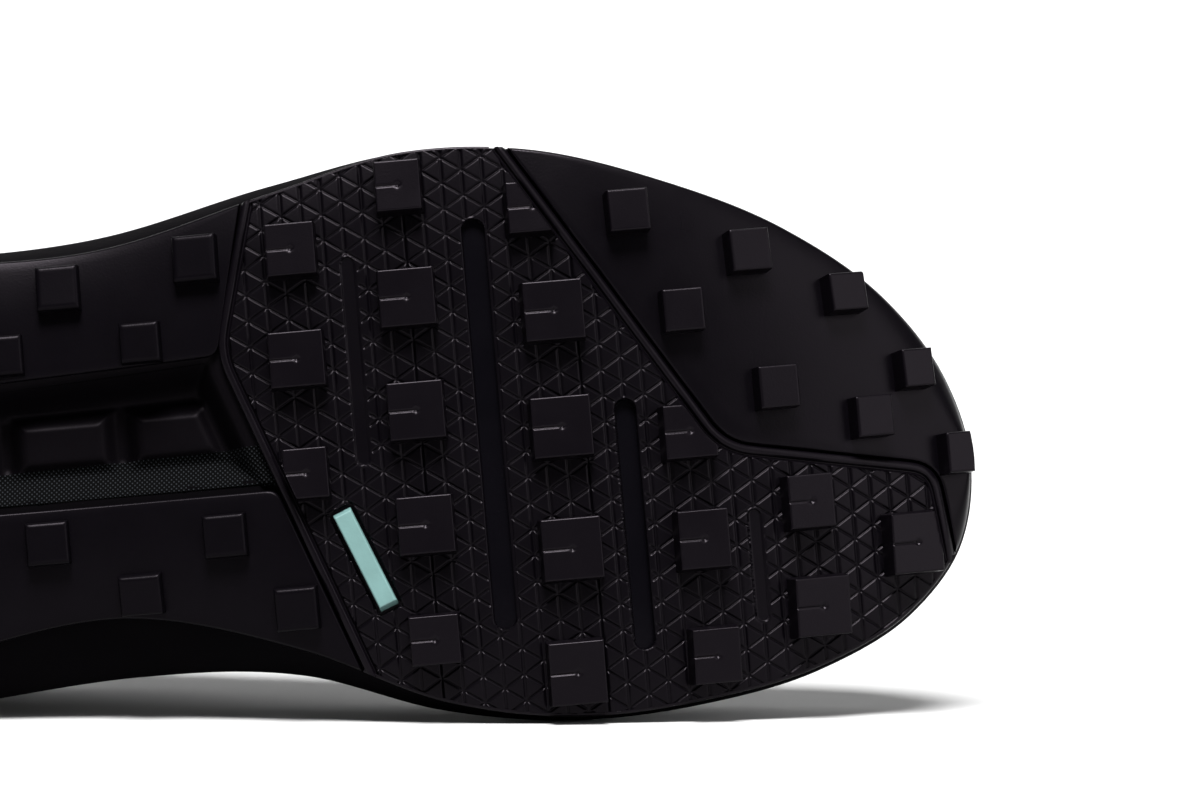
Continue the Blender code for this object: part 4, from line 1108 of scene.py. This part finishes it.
print("the top edge of a standing shoe is up to", round(1000 * float(TOPLINE[:, 4].max()), 1), "mm high")

# %% [markdown]
# Where a foot bends, the cloth of a worn upper keeps creases behind the toe and at the ankle. They could
# be painted as bump, but real folds change the outline of the shoe too. So the wall is moved along its
# normals: a valley along each crease line, with a soft fold on both sides of it. The weave's UV map is
# measured along the surface, which keeps the threads equally wide everywhere.

# %% Shell of the upper
TURN = np.linspace(-1, 1, 361)[:-1]
UP = np.linspace(0, 1, 61)
MIDWAY, UV_ROW = 30, 20
# turn and up at the start and at the end of the line, depth, width
CREASES = ((-0.345, 0.34, -0.265, 0.76, 0.0019, 0.0030), (-0.300, 0.38, -0.235, 0.72, 0.0014, 0.0026),
           (0.340, 0.34, 0.262, 0.76, 0.0019, 0.0030), (0.295, 0.38, 0.232, 0.72, 0.0014, 0.0026),
           (-0.560, 0.30, -0.480, 0.62, 0.0012, 0.0036), (0.555, 0.30, 0.480, 0.62, 0.0012, 0.0036))
CREASE_SCALE, CREASE_ENDS = np.array((0.36, 0.07)), (0.02, 0.98)
FOLD_HEIGHT, FOLD_AWAY, FOLD_WIDE = 0.45, 2.0, 1.1


def face_normals(grid, wrap=True):
    """Unit normals of a grid, from the steps along its rows and columns."""
    if wrap:
        around = np.roll(grid, -1, axis=1) - np.roll(grid, 1, axis=1)
    else:
        around = np.gradient(grid, axis=1)
    normal = np.cross(around, np.gradient(grid, axis=0))
    return normal / np.maximum(np.linalg.norm(normal, axis=2), 1e-12)[..., None]


def creased(turn, up):
    """Height of the creases: less a bell curve along each line, plus a lower one on both sides of it."""
    at = np.stack(np.broadcast_arrays(turn[None], up), -1) * CREASE_SCALE
    height = 0.0
    for *ends, depth, width in CREASES:
        start, end = np.array(ends).reshape(2, 2) * CREASE_SCALE
        t = np.clip((at - start) @ (end - start) / ((end - start) ** 2).sum(), 0, 1)
        far = np.linalg.norm(at - start - t[..., None] * (end - start), axis=-1) / width
        fade = np.sin(np.pi * np.clip(t, *CREASE_ENDS)) ** 0.5
        fold = FOLD_HEIGHT * np.exp(-((far - FOLD_AWAY) / FOLD_WIDE) ** 2)
        height = height + depth * fade * (fold - np.exp(-far ** 2))
    return height


def run_down(grid):
    """Running length down each column of a grid, from its first row."""
    return np.vstack((0 * grid[0, :, 0], np.cumsum(np.linalg.norm(np.diff(grid, axis=0), axis=2), axis=0)))


shell = upper_face(TURN, np.repeat(UP[:, None], len(TURN), 1))
outward = face_normals(shell)
outward *= np.sign((outward[MIDWAY] * (shell[MIDWAY] - shell[MIDWAY].mean(0))).sum())
shell = shell + outward * creased(TURN, UP[:, None])[..., None]
run_round = np.cumsum(np.linalg.norm(np.roll(shell[UV_ROW], -1, 0) - shell[UV_ROW], axis=1))
shell_uv = np.stack((np.repeat(run_round[None], len(shell), 0), run_down(shell)), -1)
add_grid("upper_shell", shell, UPPER_TEXTILE, ["upper"], "upper_textile", wrap=True, uv=shell_uv)

# %% [markdown]
# Inside, a soft lining covers the wall, with padding round the collar so that it holds the ankle. A
# Solidify modifier would need a vertex group to vary its thickness. Here the lining is the shell moved
# inwards by a thickness that grows towards the collar, and half an ellipse rolls it over the top edge, so
# that shell and lining close without a gap.

# %% Lining and collar
PADDING, PADDED_ALONG, PADDED_UP = 0.0045, (0.38, 0.47), (0.55, 0.85)
COLLAR_ROUND, ROLL_COUNT, COLLAR_FILL = 0.45, 13, 0.7


def skirt_line():
    """Foot of the lining: the upper's line round the rim, at the height of the footbed."""
    xy = np.vstack([edge(side, 1 - np.abs(TURN[on_side]), 1, -RIM - GAP)[0]
                    for side, on_side in ((OUTER, TURN < 0), (INNER, TURN >= 0))])
    return np.column_stack((xy, footbed(xy[:, 0]) + GAP))


def lining_grid():
    """Over the collar on half an ellipse, down the inside at the lining's thickness, on to the footbed."""
    padding = PADDING * (1 - smoothstep(*PADDED_ALONG, 1 - np.abs(TURN)))
    thick = WALL + padding[None] * smoothstep(*PADDED_UP, UP)[:, None]
    lining = shell - outward * thick[..., None]
    tip = shell[-1] - shell[-2]
    tip /= np.linalg.norm(tip, axis=1)[:, None]
    angle = np.linspace(0, np.pi, ROLL_COUNT)[:, None, None]
    across = (shell[-1] - lining[-1]) / 2 * np.cos(angle)
    roll = (shell[-1] + lining[-1]) / 2 + across + tip * (COLLAR_ROUND * thick[-1])[:, None] * np.sin(angle)
    return np.concatenate((roll[:-1], lining[::-1], (skirt_line() - outward[0] * WALL)[None]))


inside = lining_grid()
inside_uv = np.stack((np.repeat(run_round[None], len(inside), 0), run_down(inside)), -1)
collar = add_grid("collar_lining", inside, LINING_TEXTILE, ["upper"], "lining_textile", wrap=True,
                  uv=inside_uv)

# %% [markdown]
# Toe cap, heel counter and eyestay are thin films, welded and sewn onto the upper where it wears. They
# could be copies of its faces pushed out, but then their outlines would follow the grid's steps. Each is
# a patch of the upper's own formula instead, within a rounded outline, lifted a little and sunk back into
# the cloth at its edges, so that it ends in a soft step.

# %% Overlays
OVERLAY, OVERLAY_GAP = 0.0010, 0.0005
OVERLAY_STEP, OVERLAY_SINK, AT_TOP_EDGE = 0.0011, 0.0002, 0.9
# reach in turn, lower and upper end, middle, bluntness of the outline
OVERLAYS = {"toe_cap": (0.219, 0.07, 0.40, 0.0, 2.6), "heel_counter": (0.156, 0.07, 0.54, 1.0, 5.0),
            "eyestay": (0.5625, 0.82, 0.995, 0.0, 30.0)}


def eased(count):
    """Steps from 0 to 1 that crowd towards both ends: half of 1 - cos."""
    return (1 - np.cos(np.linspace(0, np.pi, count))) / 2


def overlay_face(reach, low, high, centre, blunt, part, share):
    """Points on the upper within an overlay, whose height falls off to both ends: sqrt(1 - t^blunt)."""
    turn = (part * reach + centre + 1) % 2 - 1
    height = (high - low) * np.sqrt(np.clip(1 - np.abs(part) ** blunt, 0, 1))
    up = (low + height * share if high < AT_TOP_EDGE else high - height * (1 - share)) + 0 * turn[None]
    return upper_face(turn, up)


def overlay_patch(shape, columns=180, rows=26):
    """An overlay: its part of the upper's face, lifted by the film's height, which falls off at the edges."""
    patch = overlay_face(*shape, 2 * eased(columns) - 1, eased(rows)[:, None])
    normal = face_normals(patch, wrap=False)
    normal *= np.sign((normal * (patch - shell[MIDWAY].mean(0))).sum())
    borders = (patch[:, :1], patch[:, -1:], patch[:1], patch[-1:])
    from_rim = np.min([np.linalg.norm(patch - border, axis=2) for border in borders], axis=0)
    lifted = (OVERLAY + OVERLAY_GAP) * smoothstep(0, OVERLAY_STEP, from_rim) - OVERLAY_SINK
    return patch + normal * lifted[..., None]


for name, shape in OVERLAYS.items():
    add_grid(f"{name}_film", overlay_patch(shape), OVERLAY_FILM, [name], "overlay_film")

# %% [markdown]
# Rows of stitches hold the films. A dashed bump line would be lost at this distance, and real stitches
# catch the light as small raised grains. Each stitch is a long ball along its row, with few faces because
# there are hundreds of them, and it lies on the film's face.

# %% Stitches
STITCH, STITCH_STEP, STITCH_THICK, STITCH_POLE = 0.0023, 0.0033, 0.00042, 0.03
# overlay, share of its height, how much of its reach
STITCH_ROWS = (("toe_cap", 0.90, 0.90), ("heel_counter", 0.92, 0.93), ("eyestay", 0.17, 0.985),
               ("eyestay", 0.88, 0.985))


def stitch_row(shape, share, reach, count=600):
    """Places and directions of the stitches on one film, at even steps along a line of its outline."""
    line = overlay_face(*shape, np.linspace(-reach, reach, count), np.full((1, count), share))[0]
    length = np.linalg.norm(np.diff(line, axis=0), axis=1).sum()
    line = evenly(line, int(length / STITCH_STEP))
    way = np.gradient(line, axis=0)
    way /= np.linalg.norm(way, axis=1)[:, None]
    nearest = np.linalg.norm(shell.reshape(-1, 1, 3)[::3] - line[None], axis=2).argmin(0)
    normal = outward.reshape(-1, 3)[::3][nearest]
    return line + normal * (OVERLAY + OVERLAY_GAP), way, normal


def ellipsoids(place, way, normal, sides=8, steps=7):
    """Long balls at the given places: circles whose radius follows half a circle along the way."""
    across = np.cross(way, normal)
    turn = np.linspace(0, 2 * np.pi, sides, endpoint=False)[None, None, :, None]
    slide = np.linspace(STITCH_POLE, np.pi - STITCH_POLE, steps)[None, :, None, None]
    place, way, normal, across = [v[:, None, None] for v in (place, way, normal, across)]
    ring = STITCH_THICK * np.sin(slide) * (np.cos(turn) * across + np.sin(turn) * normal)
    return place - way * STITCH / 2 * np.cos(slide) + ring


stitch_rows = [stitch_row(OVERLAYS[name], share, reach) for name, share, reach in STITCH_ROWS]
stitches = ellipsoids(*[np.concatenate(parts) for parts in zip(*stitch_rows)])
add_piece("stitches", stitches, repeated(grid_quads(*stitches.shape[1:3], wrap=True), stitches), THREAD,
          ["eyestay", "toe_cap", "heel_counter"], "lace_cord")

# %% [markdown]
# The tongue is a padded strip under the throat, tucked under its edges and longer than it at the top. A
# flat plate pushed in would cut through the upper. Its sections are worked out from the throat itself:
# under one edge, over a crown and under the other. Each section runs over the upper face and back under
# the lower one, so that the tongue is a closed pillow with a rounded rim.

# %% Sections of the tongue
TONGUE, TONGUE_CROWN, TONGUE_UNDERLAP, TONGUE_PLAY, TONGUE_NECK = 0.0035, 0.0040, 0.87, 0.0011, 0.80
THROAT_KNOTS = np.array((0, 0.22, 0.5, 0.78, 1))


def wall_point(side, along, up, step=0.004):
    """Points of the upper's outer face and its outward normals, from small steps up and along it."""
    here, below = [wall_curve(side, along, np.full((1, len(along)), u))[0] for u in (up, up - step)]
    ahead, behind = [wall_curve(side, along + s, np.full((1, len(along)), up))[0] for s in (step, -step)]
    normal = side * np.cross(here - below, ahead - behind)
    return here, normal / np.linalg.norm(normal, axis=1)[:, None]


def throat_middle(along, above):
    """Points over the middle of the throat, a distance above the line between its edges."""
    inner, inner_up = wall_point(INNER, along, 1)
    outer, outer_up = wall_point(OUTER, along, 1)
    up = inner_up + outer_up
    up /= np.linalg.norm(up, axis=1)[:, None]
    return (inner + outer) / 2 + up * above


def tongue_sections(along, count):
    """Points across the tongue on a smooth curve through five stops, a row for each place on the throat."""
    below = WALL + TONGUE_PLAY
    stops = [throat_middle(along, TONGUE_CROWN - below)]
    for up in (1, TONGUE_UNDERLAP):
        for side in (INNER, OUTER):
            place, normal = wall_point(side, along, up)
            stops.insert(0 if side == INNER else len(stops), place - normal * below)
    return np.swapaxes(hermite(THROAT_KNOTS, np.array(stops), np.linspace(0, 1, count)), 0, 1)


TONGUE_ENDS, TONGUE_ROWS = (0.43, 0.74), 57
throat_inner, throat_outer = [wall_point(side, np.array(TONGUE_ENDS), 1)[0] for side in (INNER, OUTER)]
throat_width = np.linalg.norm(throat_inner - throat_outer, axis=1)
print("the throat is", np.round(1000 * throat_width, 1), "mm wide at its two ends")

# %% [markdown]
# Above the throat the tongue stands free and ends in a rounded tip, and at its front it is tucked under
# the vamp. Both ends are made by moving the last section on along its own direction, which keeps the
# strip smooth. The pillow is full in the middle and thin at its rim, by high powers of the way across and
# along.

# %% Tongue
END_SPAN, STANDS_ROWS, TUCK_ROWS = 7, 20, 6
STANDS_HIGH, STANDS_LOW, STANDS_ROUND = 0.0262, 0.0096, 0.0167
TUCK_FIRST, TUCK_LAST, TUCK_DROP = 0.001, 0.008, 0.0012
TIP_PADDING, TIP_FROM, TONGUE_FILL = 0.8, (0.62, 0.9), 0.6


def tongue_strip(count):
    """Sections from the free tip, narrowed and rounded, through the throat, to the tucked front end."""
    rows = tongue_sections(np.linspace(*TONGUE_ENDS, TONGUE_ROWS), count)
    ways = rows[0] - rows[END_SPAN], rows[-1] - rows[-1 - END_SPAN]
    back, front = [way / np.linalg.norm(way, axis=1).mean() for way in ways]
    stands = np.linspace(STANDS_HIGH, STANDS_LOW, STANDS_ROWS)[:, None, None]
    round_off = 0.5 + 0.5 * np.sqrt(1 - ((stands - STANDS_LOW) / STANDS_ROUND) ** 4)
    middle = rows[0].mean(0)
    neck = middle + (rows[0] - middle) * TONGUE_NECK * round_off
    tuck = np.linspace(TUCK_FIRST, TUCK_LAST, TUCK_ROWS)[:, None, None]
    drop = np.array((0, 0, TUCK_DROP)) * tuck / TUCK_LAST
    return np.concatenate((neck + back * stands, rows, rows[-1] + front * tuck - drop))


def tongue_pillow(count=41):
    """Upper and lower face of the strip, apart by thickness * sqrt((1 - w^8)(1 - u^40)); and a UV map."""
    rows = tongue_strip(count)
    normal = face_normals(rows, wrap=False)
    normal *= np.sign(normal[STANDS_ROWS, count // 2, 2])
    u = np.linspace(-1, 1, rows.shape[0])[:, None]
    w = np.linspace(-1, 1, count)[None]
    puff = np.sqrt(np.clip((1 - np.abs(w) ** 8) * (1 - np.abs(u) ** 40), 0, 1))
    half = (TONGUE / 2 * puff * (1 + TIP_PADDING * smoothstep(*TIP_FROM, -u)))[..., None]
    upper, lower = rows + normal * (half - TONGUE / 2), rows - normal * (half + TONGUE / 2)
    grid = np.concatenate((upper, lower[:, ::-1]), axis=1)
    middle = rows[:, count // 2]
    run = np.append(0, np.cumsum(np.linalg.norm(np.diff(middle, axis=0), axis=1)))[:, None]
    beside = np.linalg.norm(rows - middle[:, None], axis=2) * np.sign(w)
    return grid, np.stack((np.hstack((beside, beside[:, ::-1])), np.repeat(run, grid.shape[1], 1)), -1)


pillow, pillow_uv = tongue_pillow()
tongue = add_grid("tongue_pillow", pillow, UPPER_TEXTILE, ["tongue"], "upper_textile", wrap=True,
                  uv=pillow_uv)

# %% [markdown]
# A loose insole lies on the footbed and can be seen through the collar. It is a flat sheet of foam and
# cloth, which a scaled plate could stand for, but it has to follow the lift of the toe and the arch. So
# its grid runs from side to side at the footbed's height, and its edge is rounded and turned down.

# %% Insole
INSOLE, INSOLE_PLAY, INSOLE_DROP, INSOLE_ROUND = 0.0040, 0.0006, 0.0012, 0.0015


def insole_grid(rows=160, columns=41):
    """Sheet between the two sides, whose height falls off over the last stretch at each, with a skirt."""
    share = np.concatenate(((0,), eased(columns), (1,)))
    inner, outer = [edge(side, np.linspace(0, 1, rows), 1, -RIM - GAP - WALL - INSOLE_PLAY)[0]
                    for side in (INNER, OUTER)]
    xy = outer[:, None] * (1 - share)[None, :, None] + inner[:, None] * share[None, :, None]
    width = np.linalg.norm(inner - outer, axis=1)[:, None]
    from_side = np.minimum(share, 1 - share)[None] * width
    height = GAP + INSOLE - INSOLE_DROP * (1 - smoothstep(0, INSOLE_ROUND, from_side))
    height[:, (0, -1)] = GAP
    return np.dstack((xy, footbed(xy[..., 0]) + height)), xy


sheet, sheet_uv = insole_grid()
add_grid("insole_sheet", sheet, LINING_TEXTILE, ["insole"], "lining_textile", facing=UPWARDS, uv=sheet_uv)

# %% [markdown]
# The lace is a round cord that crosses the throat from each eyelet to the next row on the other side,
# with a bar at the front. A bevelled Blender curve would make the tube, but its rings twist where the
# path turns sharply into an eyelet. Here each crossing is a smooth path through seven stops, and its
# rings keep the throat's way up. Of two crossings that meet, one passes over the other by the cord's
# thickness.

# %% Lace
LACE_RADIUS, LACE_CLEAR, LACE_BROW, LACE_SUNK, LACE_RISE = 0.0018, 0.0019, 0.2, 0.002, 0.6
EYELET_HEIGHT, EYELETS = 0.90, np.linspace(0.455, 0.700, 5)
THROAT_UP = np.array((0.45, 0.0, 0.89))


def lace_path(side, start, end, over, count=60):
    """Smooth curve through a crossing's stops: in the eyelet, above it, over the brow, midway, and back."""
    clear = OVERLAY + LACE_RADIUS + LACE_CLEAR
    near, far = np.array((start,)), np.array((end,))
    brow = near + LACE_BROW * (far - near), far - LACE_BROW * (far - near)
    stops = []
    for which, at, edge_at in ((side, near, brow[0]), (-side, far, brow[1])):
        place, up = wall_point(which, at, EYELET_HEIGHT)
        lip, lip_up = wall_point(which, edge_at, 1)
        stops.append([place - up * LACE_SUNK, place + up * LACE_RISE * clear, lip + lip_up * clear])
    crown = max(TONGUE_CROWN - WALL - TONGUE_PLAY + LACE_RADIUS + GAP, clear)
    middle = throat_middle((near + far) / 2, crown + over)
    points = np.vstack(stops[0] + [middle] + stops[1][::-1])
    knots = np.append(0, np.cumsum(np.linalg.norm(np.diff(points, axis=0), axis=1)))
    return hermite(knots, points, np.linspace(0, knots[-1], count))


def tube(path, radius, sides=14):
    """Rings round a path, whose axes come from its direction and the way up at the throat; and a UV map."""
    way = np.gradient(path, axis=0)
    way /= np.linalg.norm(way, axis=1)[:, None]
    beside = np.cross(way, THROAT_UP)
    beside /= np.linalg.norm(beside, axis=1)[:, None]
    above = np.cross(beside, way)
    angle = np.linspace(0, 2 * np.pi, sides, endpoint=False)[None, :, None]
    grid = path[:, None] + radius * (np.cos(angle) * beside[:, None] + np.sin(angle) * above[:, None])
    run = np.append(0, np.cumsum(np.linalg.norm(np.diff(path, axis=0), axis=1)))
    uv = np.stack((np.repeat(run[:, None], sides, 1), np.repeat(radius * angle[..., 0], len(path), 0)), -1)
    return grid, uv


crossings = [lace_path(side, first, last, 2 * LACE_RADIUS * (side == INNER))
             for first, last in zip(EYELETS, EYELETS[1:]) for side in (INNER, OUTER)]
crossings.append(lace_path(INNER, EYELETS[-1], EYELETS[-1], 0))
cords, cords_uv = [np.stack(parts) for parts in zip(*[tube(path, LACE_RADIUS) for path in crossings])]
add_piece("lace_crossings", cords, repeated(grid_quads(*cords.shape[1:3], wrap=True), cords), LACE_CORD,
          ["lace"], "lace_cord", uv=cords_uv)
lace_length = sum(np.linalg.norm(np.diff(path, axis=0), axis=1).sum() for path in crossings)
print("the crossings are", round(1000 * lace_length), "mm long together")

# %% [markdown]
# Each eyelet has a small ring that keeps the film from tearing. Blender has a torus, but ten of them
# would have to be turned to the slope of the upper one by one. A small circle carried round a large one,
# in the axes of each place, makes them all at once, and the grid closes on itself both ways.

# %% Eyelets
RING_STANDS = 0.0015


def eyelet_rings(radius=0.0029, thickness=0.0008, sides=24, steps=10):
    """Rings round the eyelets: a small circle carried round a large one, on the upper's face."""
    rings = []
    for side in (INNER, OUTER):
        place, up = wall_point(side, EYELETS, EYELET_HEIGHT)
        along = np.cross(up, np.array((0.0, 1.0, 0.0)))
        along /= np.linalg.norm(along, axis=1)[:, None]
        across = np.cross(up, along)
        big = np.linspace(0, 2 * np.pi, sides, endpoint=False)[None, :, None, None]
        small = np.linspace(0, 2 * np.pi, steps, endpoint=False)[None, None, :, None]
        out = radius + thickness * np.cos(small)
        place, up, along, across = [v[:, None, None] for v in (place + up * RING_STANDS, up, along, across)]
        round_it = np.cos(big) * along + np.sin(big) * across
        rings.append(place + out * round_it + thickness * np.sin(small) * up)
    return np.concatenate(rings)


def torus_quads(rows, columns):
    """Quads of a grid that closes on itself both ways: each point with the next in its row and column."""
    first = np.arange(rows * columns).reshape(rows, columns)
    return np.stack((first, np.roll(first, -1, 0), np.roll(first, (-1, -1), (0, 1)), np.roll(first, -1, 1)),
                    -1).reshape(-1, 4)


eyelets = eyelet_rings()
add_piece("eyelet_rings", eyelets, repeated(torus_quads(*eyelets.shape[1:3]), eyelets), OVERLAY_FILM,
          ["eyestay"], "overlay_film")

# %% [markdown]
# The shoe is shown in a studio, on a plain pale floor before a pale backdrop. A curved sweep of paper is
# common, but two planes do here, because both are so light that their seam doesn't show. The backdrop
# glows a little, so that it stays white behind a black shoe.

# %% Stage
PALE, STAGE_ROUGH, BACKDROP_GLOW = (0.365, 0.365, 0.365), 0.9, 0.55
STAGE_HALF, STAGE_BACK, STAGE_HEIGHT = 9, 3, 5


def stage_plane(name, corners, glow=0.0):
    """A flat plane of the stage, pale and matt, which may glow."""
    mesh = bpy.data.meshes.new(name)
    mesh.from_pydata(corners, [], [(0, 1, 2, 3)])
    made = Finish(name, PALE, STAGE_ROUGH, Emission_Color=(1, 1, 1, 1), Emission_Strength=glow)
    mesh.materials.append(made.material)
    thing = bpy.data.objects.new(name, mesh)
    bpy.context.scene.collection.objects.link(thing)


back_left, back_right = (-STAGE_HALF, STAGE_BACK, 0), (STAGE_HALF, STAGE_BACK, 0)
stage_plane("floor", [(-STAGE_HALF, -STAGE_HALF, 0), (STAGE_HALF, -STAGE_HALF, 0), back_right, back_left])
stage_plane("backdrop", [back_left, back_right, (STAGE_HALF, STAGE_BACK, STAGE_HEIGHT),
                         (-STAGE_HALF, STAGE_BACK, STAGE_HEIGHT)], BACKDROP_GLOW)
print("stage:", 2 * STAGE_HALF, "m wide")

# %% [markdown]
# Black rubber shows by what it reflects, so the light matters more than the colour. A broad sun high in
# front of the shoe gives the lips of the grooves their shine and leaves the flat faces dark. A weak soft
# box on the right brightens the toe. A world that is bright all round would wash the grooves out, so it
# is kept dim.

# %% Light
KEY_RISE, KEY_SPREAD, KEY_STRENGTH = np.radians(62), np.radians(26), 10.7
BOX_PLACE, BOX_AIM, BOX_SIZE, BOX_POWER = (1.3, -0.9, 0.5), (0.04, -0.02, 0.0), 1.0, 8.0
WORLD_STRENGTH = 0.06

key = bpy.data.objects.new("key", bpy.data.lights.new("key", "SUN"))
key.data.energy, key.data.angle = KEY_STRENGTH, KEY_SPREAD
key.rotation_euler = (np.pi / 2 - KEY_RISE, 0, 0)
bpy.context.scene.collection.objects.link(key)

box = bpy.data.objects.new("side", bpy.data.lights.new("side", "AREA"))
box.data.size, box.data.energy = BOX_SIZE, BOX_POWER
box.location = BOX_PLACE
box.rotation_euler = Vector(np.subtract(BOX_AIM, BOX_PLACE)).to_track_quat("-Z", "Y").to_euler()
bpy.context.scene.collection.objects.link(box)

world = bpy.data.worlds.new("studio")
bpy.context.scene.world = world
world.use_nodes = True
world.node_tree.nodes["Background"].inputs["Color"].default_value = (1, 1, 1, 1)
world.node_tree.nodes["Background"].inputs["Strength"].default_value = WORLD_STRENGTH
print("lights:", [light.name for light in bpy.data.lights])

# %% [markdown]
# The photograph was taken almost level with the floor, straight at the tread, and its left edge cuts the
# heel off. The camera takes the same place: a long lens from a little above the floor, aimed at the ball
# of the foot. Its angle is given directly rather than by a Track To constraint, which keeps the horizon
# level.

# %% Camera
TREAD_MIDDLE = np.array((0.2300, -0.0047, 0.0))
AIM = np.array((0.0798, lay(TREAD_MIDDLE)[1], 0.0622))
DISTANCE, LENS, SENSOR, ELEVATION = 1.30, 203.8, 36.0, np.radians(2.0)
CLIP_NEAR, CLIP_FAR = 0.05, 30
camera = bpy.data.objects.new("camera", bpy.data.cameras.new("camera"))
bpy.context.scene.collection.objects.link(camera)
camera.data.lens, camera.data.sensor_width = LENS, SENSOR
camera.data.clip_start, camera.data.clip_end = CLIP_NEAR, CLIP_FAR
camera.location = AIM + DISTANCE * np.array((0, -np.cos(ELEVATION), np.sin(ELEVATION)))
camera.rotation_euler = (np.pi / 2 - ELEVATION, 0, 0)
bpy.context.scene.camera = camera
bpy.context.scene.view_settings.view_transform = "Standard"
print("camera at", [round(v, 3) for v in camera.location])

# %% [markdown] Last, the dressed shoe differs from the solids by about a millimetre at the toe and less
# elsewhere.
